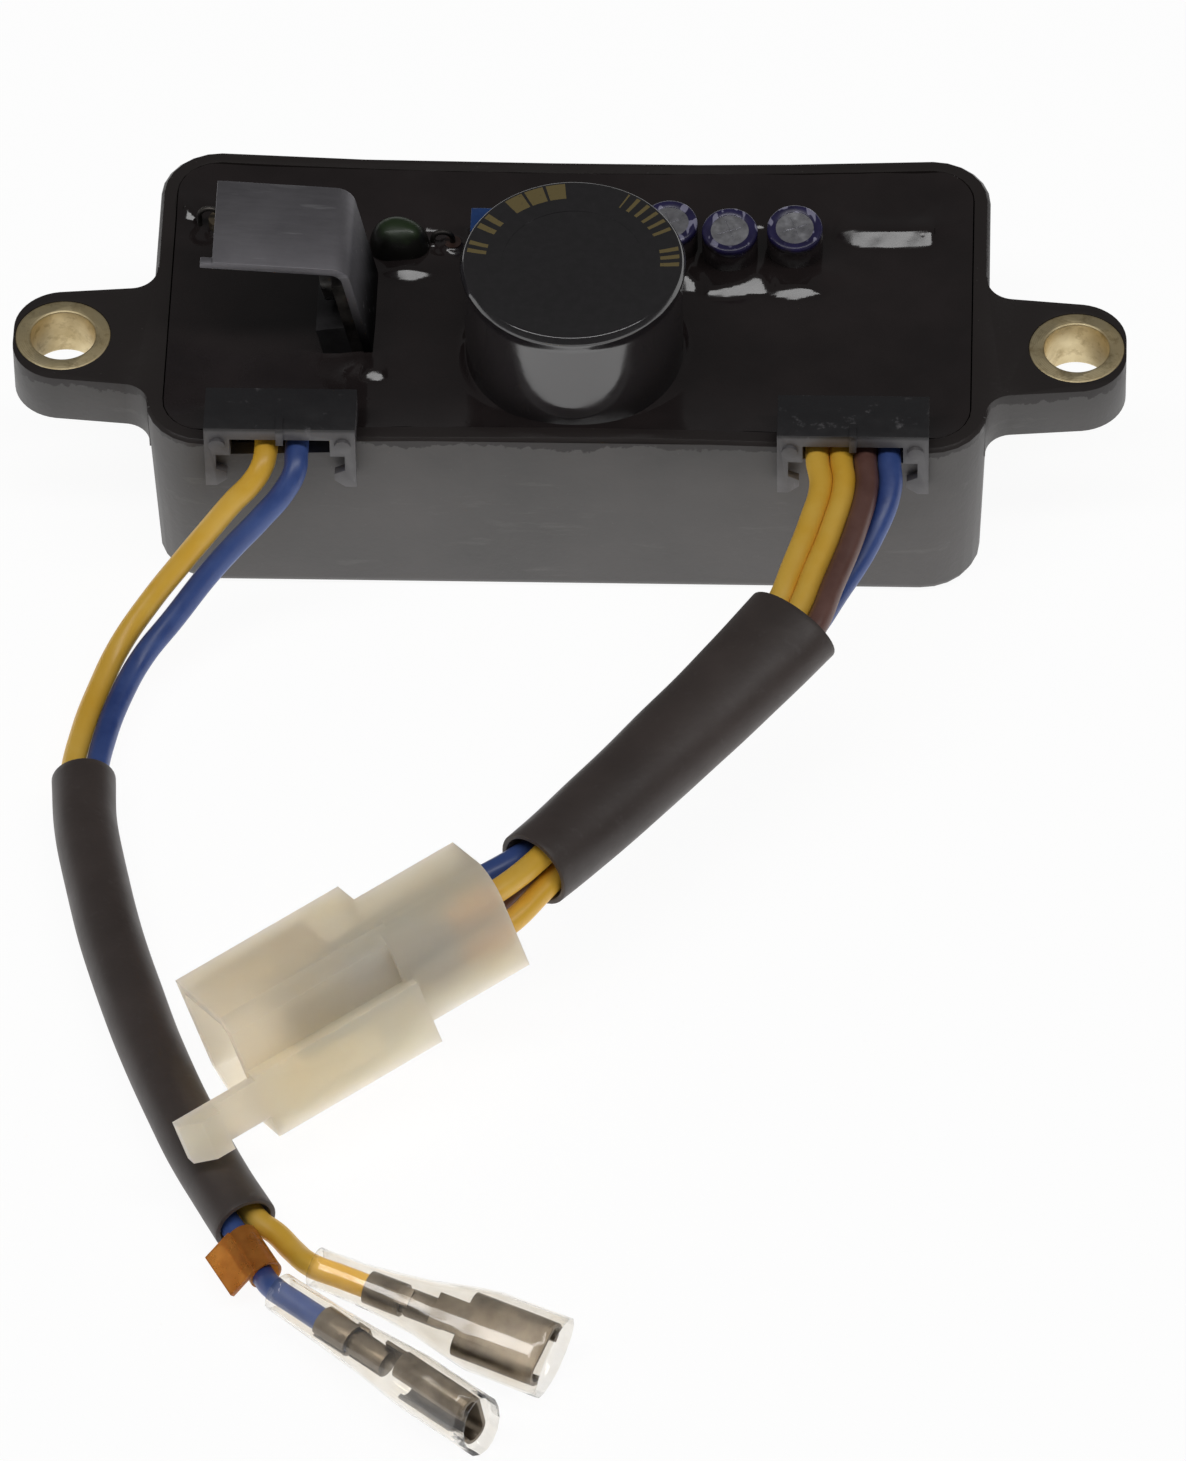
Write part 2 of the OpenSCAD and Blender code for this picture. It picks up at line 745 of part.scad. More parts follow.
// Foot of a leaning can in the board's plan
function small_foot(i) =
    let (c = small_caps[i]) [c.x, c.y - small_base * sin(c.z), resin_z + small_base * cos(c.z)];

module small_lead_places(i) {
    for (s = [-0.5, 0.5])
        translate([small_foot(i).x + s * small_lead_gap, small_foot(i).y, board_top]) children();
}

module small_leads(gap) {
    for (i = [0:2]) difference() {
        small_lead_places(i) lead(small_foot(i).z + 0.4, small_lead_d, gap);
        small_barrel(i, 0);
    }
}

module small_capacitor_leads() {
    color([0.75, 0.75, 0.72]) small_leads(0);
}

// Dipped film capacitor: flat pill with rounded shoulders
module film_shape(gap) {
    h = film_size.z + 2 * gap;
    d = film_size.y + 2 * gap;
    w = film_size.x + 2 * gap;
    translate([film_at.x, film_at.y, resin_z + film_rise - film_size.z - gap]) hull() {
        for (s = [-1, 1]) {
            translate([s * (w - d) / 2, 0, d / 2]) sphere(d = d, $fn = 24);
            translate([s * (w - d) / 2, 0, h - d / 2]) sphere(d = d, $fn = 24);
        }
    }
}

module film_lead_places() {
    for (s = [-0.5, 0.5]) translate([film_at.x + s * film_lead_gap * 0.4, film_at.y, board_top]) children();
}

module film_leads(gap) {
    difference() {
        film_lead_places() lead(resin_z + film_rise - film_size.z + 1, thin_lead_d, gap);
        film_shape(0);
    }
}

module film_capacitor() { color([0.13, 0.22, 0.12]) film_shape(0); }
module film_capacitor_leads() { color([0.75, 0.75, 0.72]) film_leads(0); }

// Axial parts that stand on end: a barrel with one lead bent over beside it
module standing_shape(at, d, rise, gap) {
    translate([at.x, at.y, resin_z + rise - standing_l - gap]) cylinder(d = d + 2 * gap, h = standing_l + 2 * gap);
}

module standing_diode() {
    color([0.4, 0.2, 0.14]) standing_shape(diode_at, diode_d, diode_rise, 0);
}

module standing_resistor() {
    color([0.62, 0.55, 0.42]) standing_shape(resistor_at, resistor_d, resistor_rise, 0);
}

standing_parts = [[diode_at, diode_rise], [resistor_at, resistor_rise]];

module standing_lead_places() {
    for (p = standing_parts) for (dx = [0, -2 * loop_r])
        translate([p[0].x + dx, p[0].y, board_top]) children();
}

// Lead under each barrel, and the loop from its top back down to the board
module standing_wires(gap) {
    r = thin_lead_d / 2 + gap;
    for (p = standing_parts) {
        top = resin_z + p[1];
        translate([p[0].x, p[0].y, board_top]) lead(top - standing_l, thin_lead_d, gap);
        translate([p[0].x - 2 * loop_r, p[0].y, board_top]) lead(top + 0.4, thin_lead_d, gap);
        translate([p[0].x, p[0].y, top]) cylinder(r = r, h = 0.4);
        translate([p[0].x - loop_r, p[0].y, top + 0.4]) rotate([90, 0, 0])
            rotate_extrude(angle = 180) translate([loop_r, 0]) circle(r);
    }
}

module standing_leads() { color([0.78, 0.78, 0.75]) standing_wires(0); }

// Bridge rectifier: slab on edge with four leads
module bridge_shape(gap) {
    translate([bridge_at.x, bridge_at.y, resin_z + bridge_rise - bridge_size.z / 2])
        cube(bridge_size + 2 * gap * [1, 1, 1], center = true);
}

module bridge_lead_places() {
    for (i = [-1.5:1:1.5]) translate([bridge_at.x + i * bridge_lead_pitch, bridge_at.y, board_top]) children();
}

module bridge_pins(gap) {
    bridge_lead_places() lead(resin_z + bridge_rise - bridge_size.z, lead_w, gap);
}

module bridge_rectifier() {
    color([0.07, 0.07, 0.07]) bridge_shape(0);
}

module bridge_leads() { color([0.75, 0.75, 0.72]) bridge_pins(0); }

// Trimmer
trimmer_top = resin_z + trimmer_rise;

module trimmer_box(gap) {
    translate([trimmer_at.x - trimmer_size.x / 2 - gap, trimmer_at.y - trimmer_size.y / 2 - gap, board_top - gap])
        cube([trimmer_size.x + 2 * gap, trimmer_size.y + 2 * gap, trimmer_top - board_top + gap]);
}

module at_trimmer_screw() {
    translate([trimmer_at.x + trimmer_screw_x, trimmer_at.y, trimmer_top - trimmer_bore_depth]) children();
}

module trimmer_body() {
    color([0.1, 0.22, 0.55]) difference() {
        trimmer_box(0);
        at_trimmer_screw() cylinder(d = trimmer_screw_d + 2 * running_gap, h = trimmer_bore_depth + overlap);
    }
}

module trimmer_screw() {
    color([0.76, 0.62, 0.32]) at_trimmer_screw() difference() {
        translate([0, 0, running_gap]) cylinder(d = trimmer_screw_d, h = trimmer_bore_depth + trimmer_screw_rise);
        translate([-trimmer_screw_d, -screw_slot / 2, trimmer_bore_depth + trimmer_screw_rise - screw_slot])
            cube([2 * trimmer_screw_d, screw_slot, overlap]);
    }
}

module trimmer_pin_places() {
    for (i = [-1:1]) translate([trimmer_at.x + i * trimmer_pin_pitch, trimmer_at.y, board_top]) children();
}

module trimmer_legs(gap) {
    trimmer_pin_places() lead(board_top, thin_lead_d, gap);
}

module trimmer_pins() { color([0.75, 0.75, 0.72]) trimmer_legs(0); }

// Wire entry: a clip over the front wall, with a roof, two cheeks inside and two hooked legs outside
module entry_cheeks(x, gap) {
    inner_y = front_y + wall_t + wall_bow;
    for (s = [-1, 1]) translate([x + s * (entry_w - leg_strip) / 2, 0, 0])
        translate([-leg_strip / 2 - gap, inner_y - gap, resin_z - overlap - gap])
            cube([leg_strip + 2 * gap, entry_back - inner_y + 2 * gap, roof_top - resin_z + overlap]);
}

// Leg seen from the front, on the +X side of the entry
module leg_outline() {
    w = entry_w / 2;
    head = roof_top - leg_head;
    polygon([
        [w, roof_top], [w - leg_w, roof_top], [w - leg_w, head], [w - leg_strip, head],
        [w - leg_strip, leg_bottom + 2.6 * foot_h], [w - leg_w + foot_step, leg_bottom + 2 * foot_h],
        [w - leg_w + foot_step, leg_bottom + foot_h], [w - leg_strip, leg_bottom], [w, leg_bottom]
    ]);
}

module wire_entry(x) {
    y0 = leg_y - leg_t;
    color([0.2, 0.2, 0.2]) {
        translate([x - entry_w / 2, y0, roof_top - roof_t]) cube([entry_w, entry_depth, roof_t]);
        translate([x - entry_w / 2, entry_back - entry_rear_t, resin_z + 1])
            cube([entry_w, entry_rear_t, roof_top - resin_z - 1]);
        entry_cheeks(x, 0);
        for (s = [0, 1]) translate([x, 0, 0]) mirror([s, 0, 0]) {
            along_y(y0, leg_t) leg_outline();
            translate([entry_w / 2 - leg_w, y0, case_h]) cube([leg_w, entry_depth, roof_top - case_h]);
            translate([entry_w / 2 - leg_w / 2, y0, case_h + boss_r]) rotate([90, 0, 0])
                cylinder(r = boss_r, h = 0.4);
        }
        translate([x - nib_w / 2, y0 - 0.3, roof_top - roof_t - 0.6])
            cube([nib_w, 2, roof_t + 0.9]);
    }
}

module wire_entry_left() { wire_entry(entry_left_x); }
module wire_entry_right() { wire_entry(entry_right_x); }

// Wire from the board to just outside the entry
function entry_route(x) = [
    [x, tail_at, tail_z],
    [x, tail_at - tail_run, tail_z + tail_climb],
    [x, tail_at - 2 * tail_run, tail_z + 2 * tail_climb],
    [x, front_y + tail_run, wire_exit_z - 0.05],
    [x, leg_y - leg_t, wire_exit_z]
];

// Stripped end soldered to the board
module wire_tail(x, gap) {
    intersection() {
        translate([x, tail_at, tail_z]) rotate([-90 - tail_slope, 0, 0]) cylinder(d = tail_d + 2 * gap, h = 4);
        translate([x - tail_d, tail_at - overlap, board_top - gap]) cube([2 * tail_d, 6, 6]);
    }
}

module wire_tails(exits) {
    color([0.78, 0.76, 0.7]) for (x = exits) wire_tail(x, 0);
}

module wire_tails_left() { wire_tails(left_exits); }
module wire_tails_right() { wire_tails(right_exits); }

// Wires of the left harness turn round each other inside their sleeve
function left_inside(phase) =
    [for (i = [0:len(left_route) - 1])
        let (a = left_twist[0] + (left_twist[1] - left_twist[0]) * i / (len(left_route) - 1) + phase)
        beside(left_route, i, left_spread * [cos(a), sin(a)])];

function terminal_end(at, turn) = [for (x = terminal_run) placed([x, 0, 0], at, turn)];

left_yellow_route = concat(
    entry_route(left_exits[0]), left_yellow_lead, left_inside(0), left_yellow_out,
    terminal_end(yellow_terminal_at, yellow_terminal_turn)
);
left_blue_route = concat(
    entry_route(left_exits[1]), left_blue_lead, left_inside(180), left_blue_out,
    terminal_end(blue_terminal_at, blue_terminal_turn)
);

module left_wire_yellow() { color([0.68, 0.54, 0.16]) tube(left_yellow_route, wire_r); }
module left_wire_blue() { color([0.1, 0.2, 0.5]) tube(left_blue_route, wire_r); }
module left_sleeve() {
    d = left_sleeve_d * [1, 1];
    color([0.18, 0.17, 0.17]) hollow_tube(left_route, d, d, sleeve_t, 12);
}

// Wires of the right harness, from the entry through the sleeve to the connector
function right_inside(i) =
    let (n = len(right_route) - 1)
    [for (k = [0:n])
        let (p = right_start[i] + (right_end[i] - right_start[i]) * k / n)
        beside(right_route, k, p[1] * [cos(p[0]), sin(p[0])])];

function connector_point(p) = placed(p, connector_at, connector_turn);
function way_point(i, l) = connector_point([l, ways[wire_ways[i]].x, ways[wire_ways[i]].y]);

function right_wire_route(i) = concat(
    entry_route(right_exits[i]), right_leads[i], right_inside(i),
    [way_point(i, shroud_l + block_l), way_point(i, barrel_end)]
);

module right_wire_yellow_outer() { color([0.7, 0.55, 0.15]) tube(right_wire_route(0), wire_r); }
module right_wire_yellow_inner() { color([0.7, 0.55, 0.15]) tube(right_wire_route(1), wire_r); }
module right_wire_brown() { color([0.34, 0.22, 0.2]) tube(right_wire_route(2), wire_r); }
module right_wire_blue() { color([0.1, 0.2, 0.5]) tube(right_wire_route(3), wire_r); }
module right_sleeve() {
    color([0.18, 0.17, 0.17]) hollow_tube(right_route, right_sleeve_start, right_sleeve_end, sleeve_t, 12);
}

// Connector housing, X from the mouth back to the wires, Z up, drawn from the mouth's far upper corner
module at_connector() { translate(connector_at) rotate(connector_turn) children(); }

module along_x(x, l) {
    translate([x, 0, 0]) rotate([90, 0, 90]) linear_extrude(l) children();
}

module shroud_outline() {
    polygon([
        [0, 0], [0, key_cut.y - shroud_h], [-key_cut.x, -shroud_h], [-shroud_w, -shroud_h],
        [-shroud_w, -top_cut], [top_cut - shroud_w, 0]
    ]);
}

module mouth_outline() {
    t = shroud_t;
    polygon([
        [-t, -t], [-t, key_cut.y - shroud_h], [-key_cut.x - t / 2, t - shroud_h], [t - shroud_w, t - shroud_h],
        [t - shroud_w, -top_cut - t / 2], [top_cut + t / 2 - shroud_w, -t]
    ]);
}

module block_outline() {
    near = -block_inset - block_w;
    difference() {
        translate([near, -block_h]) square([block_w, block_h]);
        difference() {
            translate([near - overlap, -block_round]) square(block_round + overlap);
            translate([near + block_round, -block_round]) circle(block_round);
            translate([near + block_round, -block_round - overlap]) square(2 * block_round);
        }
    }
}

module connector_housing() {
    rib_y = -shroud_w - latch_rib_w;
    color([0.9, 0.86, 0.78]) at_connector() difference() {
        union() {
            along_x(0, shroud_l) shroud_outline();
            along_x(shroud_l - overlap, block_l + overlap) block_outline();
            translate([0, rib_y, -shroud_h]) cube([shroud_l, latch_rib_w + overlap, shroud_h - latch_top]);
            translate([-latch_reach, rib_y, -latch_top - 0.4 - latch_w]) cube([latch_reach + overlap, latch_t, latch_w]);
            translate([0, 0, -latch_top - 0.4 - latch_w]) linear_extrude(latch_w) polygon([
                [-latch_reach, rib_y + latch_t], [-latch_reach, rib_y - 0.3],
                [hook_l / 2 - latch_reach, rib_y - hook_rise], [hook_l - latch_reach, rib_y - hook_rise],
                [hook_l - latch_reach, rib_y + latch_t]
            ]);
        }
        along_x(-overlap, mouth_depth + overlap) mouth_outline();
        for (w = ways) {
            translate([barrel_start, w.x, w.y]) rotate([0, 90, 0])
                cylinder(d = barrel_d + 2 * way_gap, h = shroud_l + block_l);
            translate([mouth_depth - overlap, w.x - tab_size.x / 2 - slip_gap, w.y - tab_size.y / 2 - slip_gap])
                cube([shroud_l, tab_size.x + 2 * slip_gap, tab_size.y + 2 * slip_gap]);
        }
    }
}

// Male tabs with the barrels that hold the wires' ends
module connector_tabs() {
    color([0.72, 0.7, 0.64]) at_connector() for (w = ways) translate([0, w.x, w.y]) {
        translate([tab_front, -tab_size.x / 2, -tab_size.y / 2]) cube([barrel_start - tab_front + overlap, tab_size.x, tab_size.y]);
        translate([barrel_start + slip_gap, 0, 0]) rotate([0, 90, 0])
            cylinder(d = barrel_d, h = barrel_end - barrel_start - slip_gap);
    }
}

// Tab receptacle, X from the wire's end to the mouth, flat strip below and two curled edges above
module receptacle_section() {
    half = receptacle_w / 2 - curl_r;
    for (s = [0, 1]) mirror([s, 0]) difference() {
        translate([half, 0]) circle(curl_r);
        translate([half, 0]) circle(curl_r - strip_t);
        translate([0, -curl_r + strip_t]) square([half, 2 * curl_r]);
    }
    translate([-half, -curl_r]) square([2 * half, strip_t]);
}

module crimp(x, l, r) {
    translate([x, 0, 0]) rotate([0, 90, 0]) difference() {
        cylinder(r = r + strip_t, h = l);
        translate([0, 0, -overlap]) cylinder(r = r, h = l + 2 * overlap);
        translate([-2 * r - strip_t, -0.3, -overlap]) cube([2 * r, 0.6, l + 2 * overlap]);
    }
}

module tab_receptacle(at, turn) {
    core_r = 1.1;
    strip_x = 2 * crimp_l + crimp_gap;
    strip_z = -curl_r;
    color([0.72, 0.68, 0.62]) translate(at) rotate(turn) {
        crimp(-crimp_l + 0.2, crimp_l, wire_r + slip_gap / 2);
        translate([0.2 - overlap / 2, -1, -wire_r - slip_gap / 2 - strip_t])
            cube([crimp_gap + overlap, 2, strip_t]);
        crimp(0.2 + crimp_gap, crimp_l, core_r);
        translate([0.2, 0, 0]) rotate([0, 90, 0]) cylinder(r = core_r + strip_t / 2, h = crimp_gap + crimp_l);
        translate([crimp_gap + crimp_l - 0.8, -receptacle_w / 4, strip_z])
            cube([neck_l + 1.6, receptacle_w / 2, strip_t]);
        along_x(crimp_gap + crimp_l + neck_l, receptacle_l) receptacle_section();
    }
}

module tab_receptacle_yellow() { tab_receptacle(yellow_terminal_at, yellow_terminal_turn); }
module tab_receptacle_blue() { tab_receptacle(blue_terminal_at, blue_terminal_turn); }

// Clear cover: thin oval tube, narrow over the crimps and wide over the receptacle
function cover_ring(c, inset) =
    [for (s = [0:cover_sides - 1]) let (t = 360 * s / cover_sides)
        [c.x, (cover_w / 2 * c.y - inset) * cos(t), (cover_h / 2 * c.z - inset) * sin(t)]];

module clear_cover(at, turn) {
    n = len(cover_rings) - 1;
    outer = [for (i = [0:n]) cover_ring(cover_rings[i], 0)];
    inner = [for (i = [n:-1:0]) cover_ring(cover_rings[i], cover_t)];
    color([0.95, 0.93, 0.9, 0.4]) translate(at) rotate(turn) loft(concat(outer, inner), closed = true);
}

module clear_cover_yellow() { clear_cover(yellow_terminal_at, yellow_terminal_turn); }
module clear_cover_blue() { clear_cover(blue_terminal_at, blue_terminal_turn); }

// Tape: a band round the wire with its two ends stuck together as a flag
module tape_flag() {
    r = wire_r + tape_gap;
    color([0.62, 0.42, 0.18]) translate(tape_at) rotate([0, 0, tape_turn]) along_x(-tape_l / 2, tape_l) {
        difference() {
            circle(r + tape_t);
            circle(r);
        }
        rotate(flag_droop) translate([-flag_l, r]) square([flag_l, 2 * tape_t]);
    }
}

case();
ear_bush_left();
ear_bush_right();
potting_resin();
circuit_board();
heat_sink();
transistor_body();
transistor_frame();
transistor_screw();
main_capacitor_can();
main_capacitor_sleeve();
main_capacitor_disc();
main_capacitor_pins();
small_capacitor_can_1();
small_capacitor_can_2();
small_capacitor_can_3();
small_capacitor_sleeve_1();
small_capacitor_sleeve_2();
small_capacitor_sleeve_3();
small_capacitor_leads();
film_capacitor();
film_capacitor_leads();
standing_diode();
standing_resistor();
standing_leads();
bridge_rectifier();
bridge_leads();
trimmer_body();
trimmer_screw();
trimmer_pins();
wire_entry_left();
wire_entry_right();
wire_tails_left();
wire_tails_right();
left_wire_yellow();
left_wire_blue();
left_sleeve();
right_wire_yellow_outer();
right_wire_yellow_inner();
right_wire_brown();
right_wire_blue();
right_sleeve();
tape_flag();
tab_receptacle_yellow();
tab_receptacle_blue();
clear_cover_yellow();
clear_cover_blue();
connector_housing();
connector_tabs();
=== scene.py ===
# Looks of a potted voltage regulator for a generator, with its two wire harnesses.
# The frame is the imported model's, in metres: X along the ears, Z up from the base.
# Shapes and routes are written in millimetres and scaled by MM as they are made.
import json
import math

import bpy
from mathutils import Euler, Matrix, Vector, noise

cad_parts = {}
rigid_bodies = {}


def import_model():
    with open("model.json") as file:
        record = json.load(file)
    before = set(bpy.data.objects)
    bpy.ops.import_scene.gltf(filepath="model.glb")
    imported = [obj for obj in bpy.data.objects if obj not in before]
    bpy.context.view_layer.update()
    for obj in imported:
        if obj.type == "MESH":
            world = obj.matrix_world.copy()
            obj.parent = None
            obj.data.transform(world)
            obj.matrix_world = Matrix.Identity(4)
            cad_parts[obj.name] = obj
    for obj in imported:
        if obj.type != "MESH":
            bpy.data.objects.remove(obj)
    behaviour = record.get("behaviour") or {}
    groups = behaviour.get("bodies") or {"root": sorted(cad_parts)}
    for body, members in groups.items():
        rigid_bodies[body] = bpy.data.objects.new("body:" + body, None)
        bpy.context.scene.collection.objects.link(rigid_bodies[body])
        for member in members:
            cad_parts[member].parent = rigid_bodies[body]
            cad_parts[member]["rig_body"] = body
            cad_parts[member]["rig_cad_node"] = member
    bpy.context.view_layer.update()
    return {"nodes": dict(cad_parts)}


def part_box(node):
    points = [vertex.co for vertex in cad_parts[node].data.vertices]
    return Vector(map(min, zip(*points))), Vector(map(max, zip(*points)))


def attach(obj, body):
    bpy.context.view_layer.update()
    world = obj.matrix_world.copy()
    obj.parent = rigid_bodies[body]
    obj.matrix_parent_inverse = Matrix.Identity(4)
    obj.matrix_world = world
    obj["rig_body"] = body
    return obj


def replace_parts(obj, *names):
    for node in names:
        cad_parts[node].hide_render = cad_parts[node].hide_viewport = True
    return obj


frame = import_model()

MM = 0.001
BODY = "regulator"

# Photograph and the camera that took it
PHOTO_H = 1461
FOCAL_PIXELS = 13082.1
SENSOR = 36.0
VIEW_TARGET = Vector((3.43, -43.128, 0)) * MM
VIEW_DISTANCE = 1.43699
VIEW_ELEVATION = math.radians(47.679)
VIEW_AZIMUTH = math.radians(2.667)
VIEW_ROLL = math.radians(-1.201)
FAR_CLIP = 20


def make_camera():
    flat = math.cos(VIEW_ELEVATION)
    back = Vector((math.sin(VIEW_AZIMUTH) * flat, -math.cos(VIEW_AZIMUTH) * flat,
                   math.sin(VIEW_ELEVATION)))
    level = Vector((math.cos(VIEW_AZIMUTH), math.sin(VIEW_AZIMUTH), 0))
    up = back.cross(level)
    right = level * math.cos(VIEW_ROLL) + up * math.sin(VIEW_ROLL)
    top = up * math.cos(VIEW_ROLL) - level * math.sin(VIEW_ROLL)
    data = bpy.data.cameras.new("photo_camera")
    data.sensor_width = SENSOR
    data.lens = FOCAL_PIXELS / PHOTO_H * SENSOR
    data.clip_end = FAR_CLIP
    camera = bpy.data.objects.new("photo_camera", data)
    camera.matrix_world = Matrix.Translation(VIEW_TARGET + back * VIEW_DISTANCE) @ Matrix(
        (right, top, back)).transposed().to_4x4()
    bpy.context.scene.collection.objects.link(camera)
    bpy.context.scene.camera = camera


make_camera()


# Finishes -------------------------------------------------------------------
# Most of a noise's values lie between these
GRAIN_LOW, GRAIN_HIGH = 0.3, 0.7
# Resin film over the case's rim: height of its lower edge, its blur, and how far the edge wanders
FILM_EDGE = 22.4 * MM
FILM_BLUR = 0.12 * MM
LONG_RUNS = 0.7 * MM
SHORT_RUNS = 0.4 * MM
# Heights between which a finish changes
# On the heat sink the wall is painted dark towards the bottom between these heights: painted shade under its
# plate
SINK_PAINTED_SHADE = (23.5 * MM, 32.5 * MM)
# On the main capacitor the side below these heights is painted lighter than the top: painted light
CAP_SIDE_PAINTED_LIGHT = (33.8 * MM, 35.2 * MM)
SMALL_RIM = (26.3 * MM, 26.45 * MM)
# On the small capacitors the side below these heights is painted dark: painted shade
SMALL_PAINTED_SHADE = (25.2 * MM, 26.2 * MM)
DIP_WETTED = (24.6 * MM, 25.8 * MM)
# On the entry clips the roof above these heights is painted darker than their sides: painted shade
CLIP_ROOF_PAINTED_SHADE = (26.2 * MM, 26.6 * MM)
# Bushes: place of the right one's axis, and turns of the tool marks in radians a metre
EAR_HOLE = (56 * MM, -6.5 * MM)
TOOL_MARKS = 28000.0
# Main capacitor: axis, top and the printed ring on it
CAP_CENTRE = (0.6 * MM, -6.9 * MM)
CAP_TOP = 36.9 * MM
MARK_RADII = (9.6 * MM, 11.7 * MM)
MARK_DEPTH = 0.6 * MM
# Gold bars on that ring: bearings of a group's start and end, its pitch, and the printed share of it
GOLD_BARS = [(96, 133, 12.4, 0.86), (144, 160, 8, 0.5), (166, 178, 6, 0.5), (-4, 14, 6, 0.5),
             (24, 60, 7, 0.35)]


def tone(red, green, blue):
    """A colour as read off a screen, 0 to 255, as the shader wants it."""
    def lin(c):
        c /= 255
        return c / 12.92 if c <= 0.04045 else ((c + 0.055) / 1.055) ** 2.4
    return (lin(red), lin(green), lin(blue), 1.0)


class Finish:
    """A shader with helpers for grain, colour spread and relief on the piece's own coordinates."""

    def __init__(self, name, **sockets):
        self.material = bpy.data.materials.new(name)
        self.material.use_nodes = True
        self.tree = self.material.node_tree
        self.shader = self.tree.nodes["Principled BSDF"]
        for socket, value in sockets.items():
            self.shader.inputs[socket.replace("_", " ")].default_value = value
        self.place = self.node("ShaderNodeTexCoord").outputs["Object"]

    def node(self, kind, **settings):
        made = self.tree.nodes.new(kind)
        for name, value in settings.items():
            setattr(made, name, value)
        return made

    def join(self, source, target):
        self.tree.links.new(source, target)

    def stretched(self, stretch, turn):
        mapping = self.node("ShaderNodeMapping")
        mapping.inputs["Scale"].default_value = stretch
        mapping.inputs["Rotation"].default_value = [math.radians(a) for a in turn]
        self.join(self.place, mapping.inputs["Vector"])
        return mapping.outputs["Vector"]

    def grain(self, scale, detail=3.0, rough=0.55, stretch=None, turn=(0, 0, 0)):
        made = self.node("ShaderNodeTexNoise")
        made.inputs["Scale"].default_value = scale
        made.inputs["Detail"].default_value = detail
        made.inputs["Roughness"].default_value = rough
        self.join(self.stretched(stretch, turn) if stretch else self.place, made.inputs["Vector"])
        return made.outputs["Fac"]

    def cells(self, scale):
        made = self.node("ShaderNodeTexVoronoi")
        made.inputs["Scale"].default_value = scale
        self.join(self.place, made.inputs["Vector"])
        return made.outputs["Distance"]

    def axis(self, letter):
        split = self.node("ShaderNodeSeparateXYZ")
        self.join(self.place, split.inputs[0])
        return split.outputs[letter]

    def sum(self, operation, first, second):
        made = self.node("ShaderNodeMath", operation=operation)
        for socket, value in zip(made.inputs, (first, second)):
            if isinstance(value, (int, float)):
                socket.default_value = value
            else:
                self.join(value, socket)
        return made.outputs[0]

    def radius(self, east, north):
        """Distance from the upright line where both are 0."""
        squares = [self.sum("MULTIPLY", side, side) for side in (east, north)]
        return self.sum("SQRT", self.sum("ADD", *squares), 0.0)

    def level(self, source, low, high, new_low=0.0, new_high=1.0, smooth=False):
        made = self.node("ShaderNodeMapRange")
        made.interpolation_type = "SMOOTHSTEP" if smooth else "LINEAR"
        limits = {"From Min": low, "From Max": high, "To Min": new_low, "To Max": new_high}
        for name, value in limits.items():
            made.inputs[name].default_value = value
        self.join(source, made.inputs["Value"])
        return made.outputs["Result"]

    def spread(self, source, low, high):
        """A noise laid out between two values."""
        return self.level(source, GRAIN_LOW, GRAIN_HIGH, low, high)

    def wetted_and_shaded(self, band, scale, wander):
        """1 below a ragged line and 0 above it: on the film capacitor the line up to which resin has coated it,
        on the small capacitors the top of their painted shade.
        """
        line = self.sum("ADD", self.axis("Z"), self.spread(self.grain(scale, 4), -wander, wander))
        return self.level(line, *band, 1, 0, smooth=True)

    def colours(self, source, *stops):
        ramp = self.node("ShaderNodeValToRGB")
        band = ramp.color_ramp
        while len(band.elements) < len(stops):
            band.elements.new(0.5)
        for element, (place, colour) in zip(band.elements, stops):
            element.position = place
            element.color = colour
        self.join(source, ramp.inputs["Fac"])
        return ramp.outputs["Color"]

    def over(self, share, under, upper):
        """The upper colour laid over the under one where share is 1."""
        made = self.node("ShaderNodeMix", data_type="RGBA")
        self.join(share, made.inputs["Factor"])
        for socket, value in ((made.inputs[6], under), (made.inputs[7], upper)):
            if isinstance(value, tuple):
                socket.default_value = value
            else:
                self.join(value, socket)
        return made.outputs[2]

    def wear(self, socket, source):
        self.join(source, self.shader.inputs[socket])

    def relief(self, height, depth, strength=1.0):
        bump = self.node("ShaderNodeBump")
        bump.inputs["Distance"].default_value = depth * MM
        bump.inputs["Strength"].default_value = strength
        self.join(height, bump.inputs["Height"])
        if self.shader.inputs["Normal"].links:
            self.join(self.shader.inputs["Normal"].links[0].from_socket, bump.inputs["Normal"])
        self.join(bump.outputs["Normal"], self.shader.inputs["Normal"])


def case_plastic_finish():
    """Grey-black moulding; resin has run over the rim and left a dark film with a ragged lower edge."""
    f = Finish("case_plastic", Specular_IOR_Level=0.5)
    broad = f.grain(70, 4)
    fine = f.grain(1500, 3)
    runs = f.sum("ADD", f.spread(f.grain(160, 4, 0.6, (1, 1, 0.1)), -LONG_RUNS, LONG_RUNS),
                 f.spread(f.grain(900, 4, 0.65), -SHORT_RUNS, SHORT_RUNS))
    film = f.level(f.sum("ADD", f.axis("Z"), runs), FILM_EDGE - FILM_BLUR, FILM_EDGE + FILM_BLUR, smooth=True)
    bare = f.colours(broad, (0.3, tone(70, 68, 67)), (0.7, tone(86, 83, 82)))
    scuffs = f.level(f.grain(300, 6, 0.7, (0.3, 1, 1.6)), 0.6, 0.82, 0, 0.7)
    coated = f.over(film, f.over(scuffs, bare, tone(104, 102, 100)), tone(41, 36, 35))
    specks = f.level(f.cells(700), 0.03, 0.06, 1, 0)
    f.wear("Base Color", f.over(f.sum("MULTIPLY", specks, 0.25), coated, tone(120, 118, 116)))
    f.wear("Roughness", f.sum("SUBTRACT", f.spread(broad, 0.46, 0.58), f.level(film, 0, 1, 0, 0.16)))
    f.relief(fine, 0.05, 0.6)
    f.relief(f.grain(220, 4), 0.15, 0.5)
    return f.material


